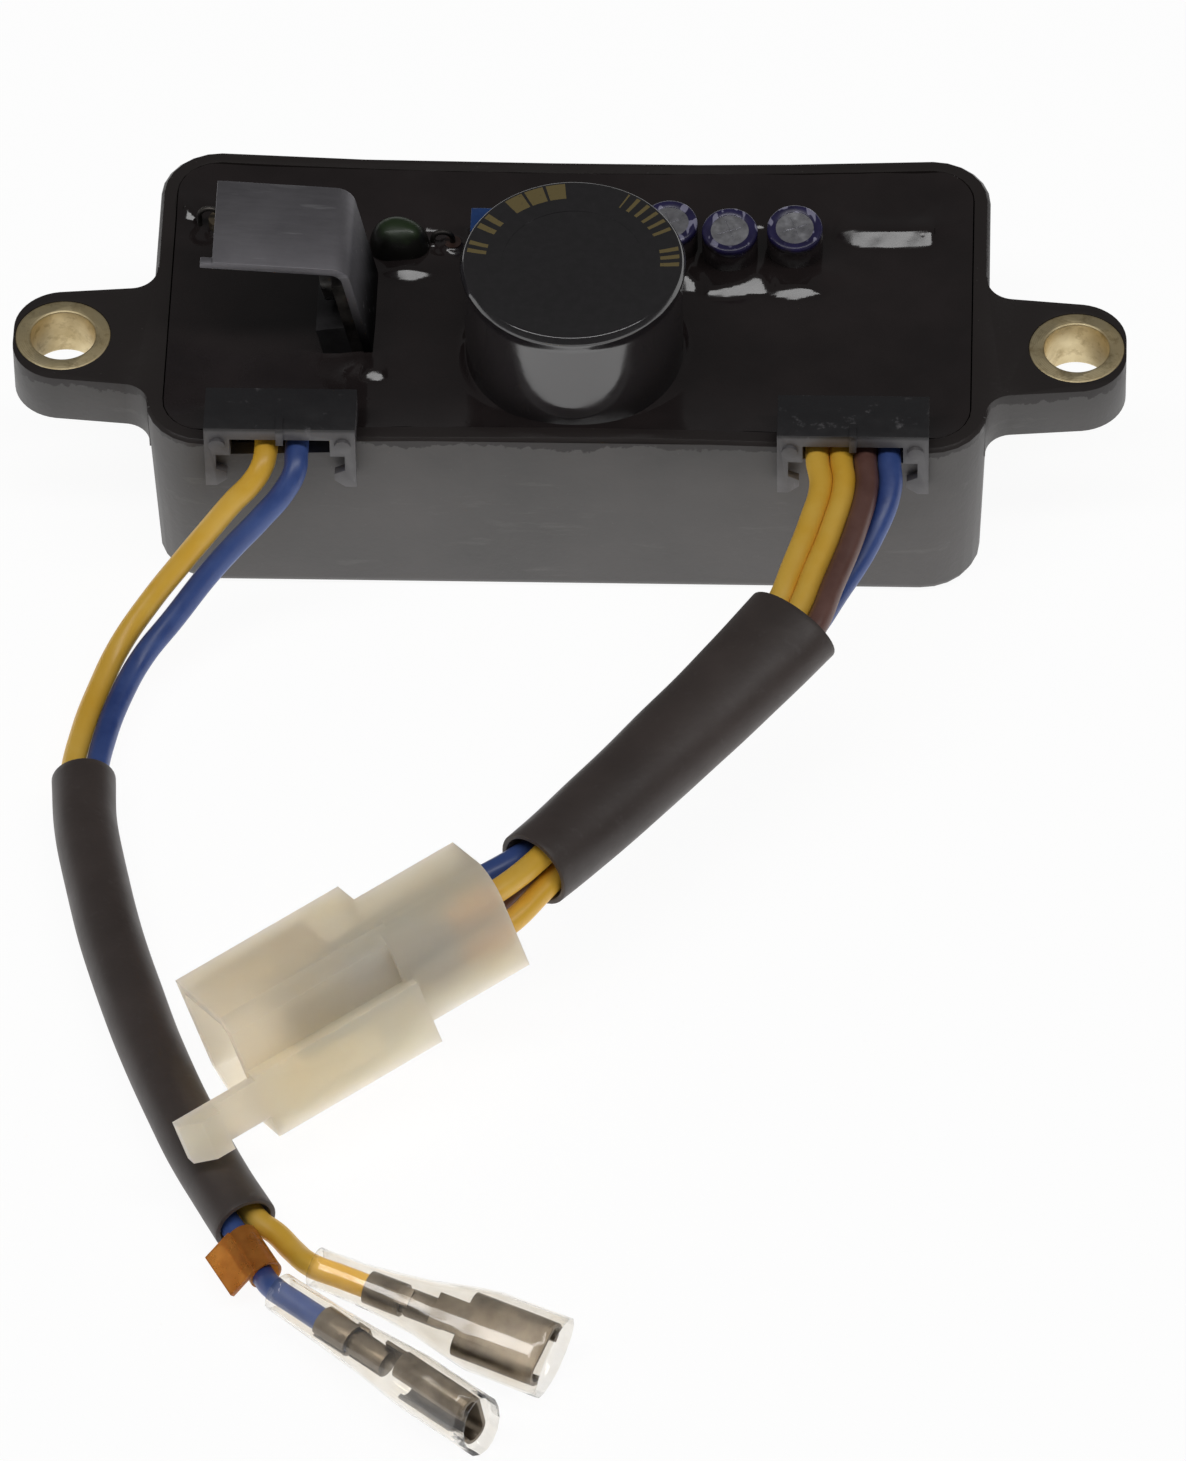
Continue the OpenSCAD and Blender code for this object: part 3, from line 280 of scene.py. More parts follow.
def resin_finish():
    f = Finish("potting_resin", Specular_IOR_Level=0.5)
    cloud = f.grain(120, 5)
    f.wear("Base Color", f.colours(cloud, (0.35, tone(35, 30, 30)), (0.7, tone(43, 37, 37))))
    f.wear("Roughness", f.level(f.grain(180, 4), 0.35, 0.7, 0.06, 0.2))
    f.relief(f.grain(160, 3), 0.08, 0.4)
    f.relief(f.level(f.cells(420), 0.0, 0.12), 0.04, 0.2)
    return f.material


def board_finish():
    f = Finish("board")
    f.wear("Base Color", f.colours(f.grain(400, 3), (0.3, tone(36, 70, 44)), (0.7, tone(46, 86, 54))))
    f.wear("Roughness", f.spread(f.grain(250), 0.3, 0.5))
    f.relief(f.grain(2500, 2), 0.02, 0.4)
    return f.material


def sheet_aluminium_finish():
    f = Finish("sheet_aluminium", Metallic=1.0)
    drawn = f.grain(260, 5, 0.65, (1, 6, 1))
    cloud = f.grain(160, 5)
    scratches = f.level(f.grain(900, 3, 0.5, (0.12, 1, 1), (0, 0, 24)), 0.66, 0.72, 0, 0.5)
    sheet = f.colours(cloud, (0.3, tone(128, 126, 130)), (0.7, tone(142, 140, 144)))
    # Painted shade: the wall under the plate darkens down towards the resin
    painted_shade_sheet = f.over(f.level(f.axis("Z"), *SINK_PAINTED_SHADE, 1, 0, smooth=True), sheet, tone(26, 25, 27))
    f.wear("Base Color", f.over(scratches, painted_shade_sheet, tone(172, 171, 174)))
    f.wear("Roughness", f.spread(drawn, 0.58, 0.7))
    f.relief(drawn, 0.02, 0.4)
    f.relief(f.grain(120, 3), 0.08, 0.3)
    return f.material


def black_mould_finish():
    f = Finish("black_mould", Specular_IOR_Level=0.5)
    f.wear("Base Color", f.colours(f.grain(300, 4), (0.3, tone(24, 23, 24)), (0.7, tone(34, 33, 34))))
    f.wear("Roughness", f.spread(f.grain(500), 0.3, 0.48))
    f.relief(f.grain(2200, 2), 0.03, 0.5)
    return f.material


def tinned_metal_finish():
    f = Finish("tinned_metal", Metallic=1.0)
    f.wear("Base Color", f.colours(f.grain(350, 4), (0.3, tone(96, 88, 78)), (0.7, tone(142, 132, 119))))
    f.wear("Roughness", f.spread(f.grain(700, 4), 0.3, 0.48))
    f.relief(f.grain(900, 3), 0.03, 0.4)
    return f.material


def dulled_and_shaded_metal_finish():
    """Tinned strip that resin has coated and left dark; on the transistor frame under the heat sink's plate the
    dark is painted shade.
    """
    f = Finish("dulled_and_shaded_metal", Metallic=1.0)
    f.wear("Base Color", f.colours(f.grain(420, 5), (0.35, tone(46, 44, 44)), (0.7, tone(104, 100, 96))))
    f.wear("Roughness", f.spread(f.grain(600, 4), 0.36, 0.6))
    f.relief(f.grain(700, 3), 0.05, 0.5)
    return f.material


def screw_steel_finish():
    # Painted shade: the bolt is given a dark steel tone, as its head sits under the heat sink's plate
    f = Finish("screw_steel", Metallic=1.0)
    f.wear("Base Color", f.colours(f.grain(500, 4), (0.3, tone(56, 55, 54)), (0.7, tone(96, 94, 92))))
    f.wear("Roughness", f.spread(f.grain(900), 0.25, 0.45))
    f.relief(f.grain(1600, 3), 0.02, 0.4)
    return f.material


def bush_brass_finish():
    """Turned brass, with tool marks round each bore and a dull, handled face."""
    f = Finish("bush_brass", Metallic=1.0)
    east = f.sum("SUBTRACT", f.sum("ABSOLUTE", f.axis("X"), 0.0), EAR_HOLE[0])
    north = f.sum("SUBTRACT", f.axis("Y"), EAR_HOLE[1])
    marks = f.sum("SINE", f.sum("MULTIPLY", f.radius(east, north), TOOL_MARKS), 0.0)
    dull = f.grain(260, 5, 0.6)
    stained = f.level(f.grain(700, 5, 0.65), 0.52, 0.72, 0, 0.6)
    face = f.colours(dull, (0.32, tone(208, 190, 148)), (0.68, tone(234, 218, 178)))
    f.wear("Base Color", f.over(stained, face, tone(150, 126, 84)))
    f.wear("Roughness", f.spread(dull, 0.6, 0.44))
    f.relief(marks, 0.012, 0.5)
    f.relief(f.grain(500, 4), 0.08, 0.5)
    return f.material


def can_aluminium_finish():
    f = Finish("can_aluminium", Metallic=1.0)
    f.wear("Base Color", f.colours(f.grain(500, 4), (0.3, tone(176, 175, 181)), (0.7, tone(226, 226, 231))))
    f.wear("Roughness", f.spread(f.grain(1200, 3), 0.24, 0.4))
    f.relief(f.grain(1500, 3), 0.02, 0.5)
    return f.material


def black_sleeve_finish():
    """Shrunk black film, its side painted lighter than its top as painted light; plain gold bars are printed on
    the ring round the top.
    """
    f = Finish("black_sleeve", Specular_IOR_Level=1.0, IOR=1.6)
    east = f.sum("SUBTRACT", f.axis("X"), CAP_CENTRE[0])
    north = f.sum("SUBTRACT", f.axis("Y"), CAP_CENTRE[1])
    radius = f.radius(east, north)
    bearing = f.sum("MULTIPLY", f.sum("ARCTAN2", north, east), 180 / math.pi)
    ring = f.sum("MULTIPLY", f.sum("GREATER_THAN", radius, MARK_RADII[0]),
                 f.sum("LESS_THAN", radius, MARK_RADII[1]))
    top = f.sum("GREATER_THAN", f.axis("Z"), CAP_TOP - MARK_DEPTH)

    def bars(start, end, pitch, share):
        inside = f.sum("MULTIPLY", f.sum("GREATER_THAN", bearing, start),
                       f.sum("LESS_THAN", bearing, end))
        step = f.sum("FRACT", f.sum("DIVIDE", f.sum("SUBTRACT", bearing, start), pitch), 0.0)
        return f.sum("MULTIPLY", inside, f.sum("LESS_THAN", step, share))

    printed = bars(*GOLD_BARS[0])
    for group in GOLD_BARS[1:]:
        printed = f.sum("MAXIMUM", printed, bars(*group))
    printed = f.sum("MULTIPLY", f.sum("MULTIPLY", printed, ring), top)
    worn = f.sum("MULTIPLY", printed, f.level(f.grain(2400, 3), 0.2, 0.36))
    dust = f.grain(900, 5, 0.7)
    film = f.colours(dust, (0.4, tone(22, 20, 22)), (0.8, tone(33, 30, 33)))
    # Painted light: the side is a lighter tone than the top
    film = f.over(f.level(f.axis("Z"), *CAP_SIDE_PAINTED_LIGHT, 1, 0, smooth=True), film, tone(44, 41, 42))
    f.wear("Base Color", f.over(worn, film, tone(112, 98, 58)))
    f.wear("Roughness", f.spread(f.grain(240, 4), 0.08, 0.19))
    f.relief(f.grain(420, 3), 0.06, 0.3)
    return f.material


def violet_sleeve_finish():
    """Violet film with worn pale dashes on the rim, painted dark lower down as shade."""
    f = Finish("violet_sleeve", Specular_IOR_Level=0.5)
    film = f.colours(f.grain(420, 4), (0.3, tone(28, 24, 58)), (0.7, tone(42, 37, 80)))
    rim = f.level(f.axis("Z"), *SMALL_RIM)
    dashes = f.level(f.grain(620, 1, 0.4, (1.7, 0.9, 1), (0, 0, 35)), 0.56, 0.59)
    printed = f.over(f.sum("MULTIPLY", f.sum("MULTIPLY", rim, dashes), 0.8), film, tone(150, 148, 172))
    # Painted shade: the side is dark below a ragged line
    f.wear("Base Color", f.over(f.wetted_and_shaded(SMALL_PAINTED_SHADE, 350, 0.6 * MM), printed, tone(52, 46, 47)))
    f.wear("Roughness", f.spread(f.grain(500), 0.24, 0.4))
    f.relief(f.grain(700, 3), 0.05, 0.4)
    return f.material


def green_dip_finish():
    """Green dip, wetted black by the resin over its lower half."""
    f = Finish("green_dip", Specular_IOR_Level=0.35, Coat_Weight=0.1, Coat_Roughness=0.1)
    dip = f.colours(f.grain(300, 4), (0.3, tone(26, 40, 20)), (0.7, tone(38, 54, 28)))
    f.wear("Base Color", f.over(f.wetted_and_shaded(DIP_WETTED, 300, 0.5 * MM), dip, tone(18, 17, 15)))
    f.wear("Roughness", f.spread(f.grain(400), 0.3, 0.5))
    f.relief(f.grain(500, 4), 0.1, 0.5)
    return f.material


def barrel_finish(name, dark, pale):
    f = Finish(name, Specular_IOR_Level=0.5)
    f.wear("Base Color", f.colours(f.grain(600, 3), (0.3, dark), (0.7, pale)))
    f.wear("Roughness", f.spread(f.grain(700), 0.25, 0.42))
    f.relief(f.grain(900, 3), 0.04, 0.4)
    return f.material


def entry_plastic_finish():
    f = Finish("entry_plastic", Specular_IOR_Level=0.5)
    scuffs = f.level(f.grain(420, 6, 0.7, (1, 1, 0.4)), 0.6, 0.78)
    body = f.colours(f.grain(240, 4), (0.3, tone(72, 70, 72)), (0.7, tone(90, 88, 89)))
    # Painted shade: the roof is darker than the clip's sides
    body = f.over(f.level(f.axis("Z"), *CLIP_ROOF_PAINTED_SHADE), body, tone(34, 33, 35))
    f.wear("Base Color", f.over(scuffs, body, tone(106, 104, 106)))
    f.wear("Roughness", f.spread(f.grain(600), 0.36, 0.52))
    f.relief(f.grain(1400, 3), 0.04, 0.5)
    return f.material


def wire_finish(name, shade, worn):
    f = Finish(name, Specular_IOR_Level=0.5)
    rubbed = f.level(f.grain(500, 5, 0.65), 0.5, 0.8)
    body = f.colours(f.grain(150, 4), (0.3, shade), (0.7, worn))
    f.wear("Base Color", f.over(f.sum("MULTIPLY", rubbed, 0.5), body, worn))
    f.wear("Roughness", f.spread(f.grain(300, 4), 0.3, 0.46))
    f.relief(f.grain(800, 3), 0.05, 0.4)
    return f.material


def sleeve_rubber_finish():
    f = Finish("sleeve_rubber", Specular_IOR_Level=0.45, Sheen_Weight=0.08, Sheen_Roughness=0.5)
    dust = f.grain(700, 6, 0.7)
    body = f.colours(f.grain(90, 4), (0.3, tone(55, 47, 44)), (0.7, tone(69, 60, 57)))
    f.wear("Base Color", f.over(f.level(dust, 0.58, 0.85, 0, 0.6), body, tone(84, 79, 78)))
    f.wear("Roughness", f.spread(f.grain(200, 4), 0.42, 0.56))
    f.relief(f.grain(1300, 3), 0.04, 0.5)
    f.relief(f.grain(110, 3), 0.25, 0.3)
    return f.material


def amber_tape_finish():
    """Thin amber film, browner where the glue lies thick."""
    f = Finish("amber_tape", Transmission_Weight=0.55, IOR=1.3)
    f.wear("Base Color", f.colours(f.grain(500, 4), (0.3, tone(176, 108, 40)), (0.7, tone(214, 146, 66))))
    f.wear("Roughness", f.spread(f.grain(700), 0.22, 0.42))
    f.relief(f.grain(900, 3), 0.015, 0.4)
    return f.material


def clear_vinyl_finish():
    """Soft clear vinyl: nearly water-clear, with a wet shine and a warm tint where it is thick."""
    f = Finish("clear_vinyl", Transmission_Weight=1.0, IOR=1.03, Coat_Weight=1.0, Coat_Roughness=0.1,
               Coat_IOR=1.5)
    f.wear("Base Color", f.colours(f.grain(260, 4), (0.3, tone(245, 240, 231)), (0.7, tone(253, 251, 247))))
    f.wear("Roughness", f.spread(f.grain(420, 4), 0.02, 0.12))
    f.relief(f.grain(330, 4), 0.25, 0.5)
    return f.material


def natural_nylon_finish():
    """Uncoloured nylon, milky and deep, so that light from below comes through."""
    f = Finish("natural_nylon", Subsurface_Weight=1.0, Subsurface_Scale=0.012, Specular_IOR_Level=0.5,
               Transmission_Weight=0.45, IOR=1.2)
    f.shader.inputs["Subsurface Radius"].default_value = (1.0, 0.94, 0.82)
    f.wear("Base Color", f.colours(f.grain(90, 4), (0.3, tone(248, 230, 198)), (0.7, tone(252, 239, 214))))
    f.wear("Roughness", f.spread(f.grain(300, 4), 0.48, 0.6))
    f.relief(f.grain(1100, 3), 0.03, 0.4)
    f.relief(f.grain(160, 3), 0.15, 0.3)
    return f.material


FINISHES = {
    "case_plastic": case_plastic_finish(),
    "bush_brass": bush_brass_finish(),
    "resin": resin_finish(),
    "board": board_finish(),
    "sheet_aluminium": sheet_aluminium_finish(),
    "black_mould": black_mould_finish(),
    "tinned_metal": tinned_metal_finish(),
    "screw_steel": screw_steel_finish(),
    "can_aluminium": can_aluminium_finish(),
    "black_sleeve": black_sleeve_finish(),
    "violet_sleeve": violet_sleeve_finish(),
    "green_dip": green_dip_finish(),
    "brown_body": barrel_finish("brown_body", tone(48, 34, 30), tone(64, 46, 40)),
    "resistor_body": barrel_finish("resistor_body", tone(64, 56, 44), tone(90, 80, 64)),
    "dulled_and_shaded_metal": dulled_and_shaded_metal_finish(),
    "trimmer_blue": barrel_finish("trimmer_blue", tone(24, 54, 104), tone(34, 68, 124)),
    "entry_plastic": entry_plastic_finish(),
    "wire_yellow": wire_finish("wire_yellow", tone(226, 174, 52), tone(232, 188, 80)),
    "wire_blue": wire_finish("wire_blue", tone(40, 62, 122), tone(66, 90, 150)),
    "wire_brown": wire_finish("wire_brown", tone(92, 62, 55), tone(112, 80, 72)),
    "sleeve_rubber": sleeve_rubber_finish(),
    "amber_tape": amber_tape_finish(),
    "clear_vinyl": clear_vinyl_finish(),
    "natural_nylon": natural_nylon_finish(),
}


# Workbench ------------------------------------------------------------------
WELD = 0.002 * MM
# An edge sharper than this many degrees is eased, and one blunter than the next is shaded smooth
SHARP_EDGE = 35
SMOOTH_EDGE = 32


def put_down():
    """Leave edit mode and let go of everything."""
    if bpy.context.object and bpy.context.object.mode != "OBJECT":
        bpy.ops.object.mode_set(mode="OBJECT")
    bpy.ops.object.select_all(action="DESELECT")


def take(piece):
    put_down()
    piece.select_set(True)
    bpy.context.view_layer.objects.active = piece


def apply_modifier(piece, kind, **settings):
    take(piece)
    modifier = piece.modifiers.new(kind.lower(), kind)
    for name, value in settings.items():
        setattr(modifier, name, value)
    bpy.ops.object.modifier_apply(modifier=modifier.name)


def smooth(piece, angle):
    take(piece)
    bpy.ops.object.shade_smooth_by_angle(angle=math.radians(angle))


def settle(piece, name, slot, *nodes):
    """Name a finished piece, dress it and set it in the place of its CAD nodes."""
    put_down()
    piece.name = name
    piece.data.name = name
    piece.data.materials.clear()
    piece.data.materials.append(FINISHES[slot])
    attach(piece, BODY)
    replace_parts(piece, *nodes)
    return piece


def dress(node, slot):
    """Give a CAD node its finish."""
    mesh = frame["nodes"][node].data
    mesh.materials.clear()
    mesh.materials.append(FINISHES[slot])


def copy_of(node):
    """A working copy of a CAD node, welded and cleared of needless edges."""
    take(frame["nodes"][node])
    bpy.ops.object.duplicate()
    piece = bpy.context.object
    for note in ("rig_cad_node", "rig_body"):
        del piece[note]
    piece.parent = None
    bpy.ops.object.mode_set(mode="EDIT")
    bpy.ops.mesh.select_all(action="SELECT")
    bpy.ops.mesh.remove_doubles(threshold=WELD)
    bpy.ops.mesh.dissolve_limited(angle_limit=math.radians(1))
    put_down()
    return piece


def eased(node, name, slot, radius, segments=2):
    """A CAD node with its hard edges eased, as moulded and pressed parts have them."""
    piece = copy_of(node)
    apply_modifier(piece, "BEVEL", width=radius * MM, segments=segments, limit_method="ANGLE",
                   angle_limit=math.radians(SHARP_EDGE), loop_slide=False)
    smooth(piece, SMOOTH_EDGE)
    return settle(piece, name, slot, node)


def lathe(profile, steps):
    """Turn a closed section of (radius, height) in millimetres about Z."""
    put_down()
    bpy.ops.mesh.primitive_plane_add(size=MM)
    piece = bpy.context.object
    bpy.ops.object.mode_set(mode="EDIT")
    bpy.ops.mesh.merge(type="CENTER")
    first = Vector((profile[0][0], 0, profile[0][1])) * MM
    bpy.ops.transform.translate(value=first)
    for (r0, z0), (r1, z1) in zip(profile, profile[1:]):
        bpy.ops.mesh.extrude_region_move(
            TRANSFORM_OT_translate={"value": Vector((r1 - r0, 0, z1 - z0)) * MM})
    bpy.ops.mesh.select_all(action="SELECT")
    bpy.ops.mesh.edge_face_add()
    bpy.ops.mesh.select_all(action="SELECT")
    bpy.ops.mesh.delete(type="ONLY_FACE")
    bpy.ops.mesh.select_all(action="SELECT")
    bpy.ops.mesh.spin(steps=steps, angle=2 * math.pi, center=(0, 0, 0), axis=(0, 0, 1))
    bpy.ops.mesh.select_all(action="SELECT")
    bpy.ops.mesh.remove_doubles(threshold=WELD)
    bpy.ops.mesh.normals_make_consistent(inside=False)
    put_down()
    return piece


def set_at(piece, place, turn=(0, 0, 0)):
    """Move a piece to its place and leave its object at the origin."""
    take(piece)
    piece.location = Vector(place) * MM
    piece.rotation_euler = [math.radians(a) for a in turn]
    bpy.ops.object.transform_apply(location=True, rotation=True, scale=True)
    return piece


def ruffle(piece, depth, size, seed):
    """Push the skin in and out along its normals by soft noise; sizes in millimetres."""
    offset = Vector((seed, seed * 1.7, seed * 0.6))
    mesh = piece.data
    normals = [v.normal.copy() for v in mesh.vertices]
    for vertex, normal in zip(mesh.vertices, normals):
        vertex.co += normal * noise.noise(vertex.co / (size * MM) + offset) * depth * MM
    mesh.update()


# Harnesses ------------------------------------------------------------------
# Routes are points of each wire's middle, in millimetres, from its end in the resin
WIRE_D = 2.6
# Up through the resin and out of the entry clip, y and z; the last point is where the wire leaves the case
ENTRY_RISE = [(-13, 17.5), (-15.4, 19.3), (-17.8, 21.1), (-20.1, 22.8), (-23.6, 22.85)]
LEFT_EXITS = {"yellow": -32.8, "blue": -29.4}
LEFT_LEADS = {
    "yellow": [(-33.1, -25, 22.4), (-34.2, -26.2, 21), (-36.2, -27.1, 19), (-39, -28.3, 15.6),
               (-41.9, -29.8, 12.2), (-45.6, -32.6, 8.4), (-48.7, -36.4, 5.6), (-50.8, -41.6, 4.2),
               (-52.3, -47.5, 3.7)],
    "blue": [(-29.5, -25.4, 22.2), (-30.6, -26.9, 20.6), (-33.3, -28.4, 17.6), (-36.3, -29.5, 14.3),
             (-39.2, -31, 11.2), (-42.9, -34, 7.4), (-46.2, -37.7, 5.1), (-48.4, -42.8, 4.1),
             (-49.8, -48.4, 3.7)],
}
LEFT_SLEEVE = [(-51.8, -54.6, 3.6), (-51.2, -61, 3.6), (-49.6, -69, 3.6), (-47.4, -78, 3.6),
               (-44.6, -87, 3.6), (-41.4, -96, 3.6), (-37.6, -105, 3.6), (-34, -112.4, 3.6), (-31, -117.8, 3.6)]
LEFT_OUT = {"yellow": [(-27.6, -119, 3.5), (-25.8, -121.3, 3.6)],
            "blue": [(-30.6, -121, 3.4), (-28.8, -124.7, 3.4)]}
# In the sleeve the pair twists from the first bearing to the second, this far from the middle
LEFT_TWIST = (190, 0)
LEFT_SPREAD = 1.42
LEFT_PHASE = {"yellow": 0, "blue": 180}
# Terminals and connector: place and turn
TERMINALS = {"yellow": ((-13.9, -128.6, 4.5), (200, 0, -25)),
             "blue": ((-18.96, -134.47, 4.8), (100, 0, -39))}
TERMINAL_RUN = (-10.8, -7.4, -4, 0.2)
LEFT_SLEEVE_D = 7.0
SLEEVE_WALL = 0.6
SLEEVE_SIDES = 40
SLEEVE_RUFFLE = (-0.12, 9)
CREASE_DEPTH = 0.14
CREASE_SIZE = 2.2

RIGHT_ORDER = ["yellow_outer", "yellow_inner", "brown", "blue"]
RIGHT_EXITS = [27.75, 30.37, 32.99, 35.61]
RIGHT_LEADS = [
    [(28.2, -27, 22.7), (27.2, -32, 22.4), (25.4, -38, 21.6)],
    [(30.7, -27, 22.8), (29.6, -32.8, 22.4), (27.6, -39.2, 21.6)],
    [(33.2, -27.2, 22.7), (32, -33.6, 22.2), (29.8, -40.4, 21.2)],
    [(35.75, -27, 22.1), (33.7, -32.6, 19.9), (30.1, -39.4, 18.4)],
]
RIGHT_SLEEVE = [(25.6, -45.2, 19.9), (20, -52.2, 18.6), (12, -62, 17.4), (4, -72, 16.9), (-1.6, -79, 17.2)]
# At the sleeve's two ends: each wire's bearing and distance from its middle, then its width and height
RIGHT_START = [(165, 2.8), (90, 0.9), (15, 2.8), (-51, 2.13)]
RIGHT_END = [(75, 1.8), (-25, 2.26), (-114, 2.1), (-193, 2.16)]
RIGHT_SLEEVE_START = (11.6, 7.8)
RIGHT_SLEEVE_END = (8.9, 8.9)
CONNECTOR = ((-39.4, -92.6, 13.9), (-24, -8, 33.5))
WAY_PITCH = 4.2
WAYS_MIDDLE = (-9.1, -6.1)
WAYS = [(WAYS_MIDDLE[0] + dy * WAY_PITCH, WAYS_MIDDLE[1] + dz * WAY_PITCH)
        for dz in (-0.5, 0.5) for dy in (0.5, -0.5)]
WIRE_WAYS = [3, 1, 0, 2]
CONNECTOR_REACH = (33, 27)


def placed(point, at, turn):
    return Euler([math.radians(a) for a in turn]).to_matrix() @ Vector(point) + Vector(at)


def heading(route, i):
    return (Vector(route[min(i + 1, len(route) - 1)]) - Vector(route[max(i - 1, 0)])).normalized()


def beside(route, i, angle, radius):
    """A point on the ring round a route, angle 0 to its left and 90 above."""
    ahead = heading(route, i)
    left = Vector((0, 0, 1)).cross(ahead).normalized()
    above = ahead.cross(left)
    a = math.radians(angle)
    return Vector(route[i]) + (left * math.cos(a) + above * math.sin(a)) * radius


def entry_route(x):
    return [(x, y, z) for y, z in ENTRY_RISE]


def left_route(colour):
    last = len(LEFT_SLEEVE) - 1
    turn = (LEFT_TWIST[1] - LEFT_TWIST[0]) / last
    inside = [beside(LEFT_SLEEVE, i, LEFT_TWIST[0] + turn * i + LEFT_PHASE[colour], LEFT_SPREAD)
              for i in range(last + 1)]
    crimp = [placed((x, 0, 0), *TERMINALS[colour]) for x in TERMINAL_RUN]
    return entry_route(LEFT_EXITS[colour]) + LEFT_LEADS[colour] + inside + LEFT_OUT[colour] + crimp


def right_route(i):
    last = len(RIGHT_SLEEVE) - 1
    inside = []
    for k in range(last + 1):
        angle, radius = (a + (b - a) * k / last for a, b in zip(RIGHT_START[i], RIGHT_END[i]))
        inside.append(beside(RIGHT_SLEEVE, k, angle, radius))
    way = [placed((x, *WAYS[WIRE_WAYS[i]]), *CONNECTOR) for x in CONNECTOR_REACH]
    return entry_route(RIGHT_EXITS[i]) + RIGHT_LEADS[i] + inside + way


def wire(name, slot, route, node):
    """An insulated wire along its route."""
    data = bpy.data.curves.new(name, "CURVE")
    data.dimensions = "3D"
    data.bevel_depth = WIRE_D / 2 * MM
    data.bevel_resolution = 5
    data.use_fill_caps = True
    data.resolution_u = 8
    spline = data.splines.new("BEZIER")
    spline.bezier_points.add(len(route) - 1)
    for point, place in zip(spline.bezier_points, route):
        point.co = Vector(place) * MM
        point.handle_left_type = point.handle_right_type = "AUTO"
    piece = bpy.data.objects.new(name, data)
    bpy.context.scene.collection.objects.link(piece)
    data.materials.append(FINISHES[slot])
    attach(piece, BODY)
    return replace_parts(piece, node)


def fine_route(route, per_span):
    """The route with points added on a smooth curve through it."""
    pts = [Vector(p) for p in route]
    pts = [2 * pts[0] - pts[1]] + pts + [2 * pts[-1] - pts[-2]]
    fine = []
    for a, b, c, d in zip(pts, pts[1:], pts[2:], pts[3:]):
        for k in range(per_span):
            t = k / per_span
            fine.append(0.5 * (2 * b + (c - a) * t + (2 * a - 5 * b + 4 * c - d) * t ** 2
                               + (3 * b - a - 3 * c + d) * t ** 3))
    return fine + [pts[-2]]


def sleeve(name, node, route, start, end, per_span, seed):
    """A length of soft tube drawn over the wires, with its cut ends open."""
    fine = fine_route(route, per_span)
    last = len(fine) - 1
    spots, faces = [], []
    for k in range(last + 1):
        ahead = heading(fine, k)
        left = Vector((0, 0, 1)).cross(ahead).normalized()
        above = ahead.cross(left)
        wide, high = (a + (b - a) * k / last for a, b in zip(start, end))
        for s in range(SLEEVE_SIDES):
            a = 2 * math.pi * s / SLEEVE_SIDES
            spots.append((fine[k] + left * math.cos(a) * wide / 2 + above * math.sin(a) * high / 2) * MM)
    for k in range(last):
        ring, following = k * SLEEVE_SIDES, (k + 1) * SLEEVE_SIDES
        for s in range(SLEEVE_SIDES):
            t = (s + 1) % SLEEVE_SIDES
            faces.append((ring + s, ring + t, following + t, following + s))
    mesh = bpy.data.meshes.new(name)
    mesh.from_pydata(spots, [], faces)
    piece = bpy.data.objects.new(name, mesh)
    bpy.context.scene.collection.objects.link(piece)
    take(piece)
    bpy.ops.object.mode_set(mode="EDIT")
    bpy.ops.mesh.select_all(action="SELECT")
    bpy.ops.mesh.normals_make_consistent(inside=False)
    put_down()
    ruffle(piece, *SLEEVE_RUFFLE, seed)
    apply_modifier(piece, "SOLIDIFY", thickness=SLEEVE_WALL * MM, offset=-1)
    apply_modifier(piece, "BEVEL", width=0.12 * MM, segments=2, limit_method="ANGLE",
                   angle_limit=math.radians(50))
    smooth(piece, 40)
    return settle(piece, name, "sleeve_rubber", node)


def make_harnesses():
    left_round = (LEFT_SLEEVE_D, LEFT_SLEEVE_D)
    left_tube = sleeve("left_tube", "left_sleeve", LEFT_SLEEVE, left_round, left_round, 8, 3.1)
    right_tube = sleeve("right_tube", "right_sleeve", RIGHT_SLEEVE, RIGHT_SLEEVE_START, RIGHT_SLEEVE_END,
                        14, 7.4)
    tape = flagged_tape()
    housing = eased("connector_housing", "connector_moulding", "natural_nylon", 0.45, 3)
    for colour in ("yellow", "blue"):
        route = left_route(colour)
        lead = wire("lead_left_" + colour, "wire_" + colour, route, "left_wire_" + colour)
        ends = [receptacle(colour), clear_cover(colour)]
        if colour == "blue":
            ends += [left_tube, tape]
    for i, way in enumerate(RIGHT_ORDER):
        route = right_route(i)
        lead = wire("lead_right_" + way, "wire_" + way.split("_")[0], route, "right_wire_" + way)
        ends = [housing] + ([right_tube] if i == 0 else [])


def flagged_tape():
    """The amber tape at the end of the left sleeve."""
    piece = copy_of("tape_flag")
    apply_modifier(piece, "BEVEL", width=0.05 * MM, segments=1, limit_method="ANGLE",
                   angle_limit=math.radians(40))
    smooth(piece, 40)
    return settle(piece, "amber_tape", "amber_tape", "tape_flag")


def receptacle(colour):
    return eased("tab_receptacle_" + colour, "receptacle_" + colour, "tinned_metal", 0.1)


def clear_cover(colour):
    """A soft clear cover with shallow creases."""
    node = "clear_cover_" + colour
    piece = copy_of(node)
    take(piece)
    bpy.ops.object.mode_set(mode="EDIT")
    bpy.ops.mesh.select_all(action="SELECT")
    bpy.ops.mesh.quads_convert_to_tris()
    bpy.ops.mesh.subdivide(number_cuts=3, smoothness=0)
    put_down()
    offset = Vector((0, 0, 5 if colour == "blue" else 0))
    for vertex in piece.data.vertices:
        share = 0.5 + 0.5 * noise.noise(vertex.co / (CREASE_SIZE * MM) + offset)
        vertex.co -= vertex.normal * share * CREASE_DEPTH * MM
    smooth(piece, 50)
    return settle(piece, "cover_" + colour, "clear_vinyl", node)


make_harnesses()


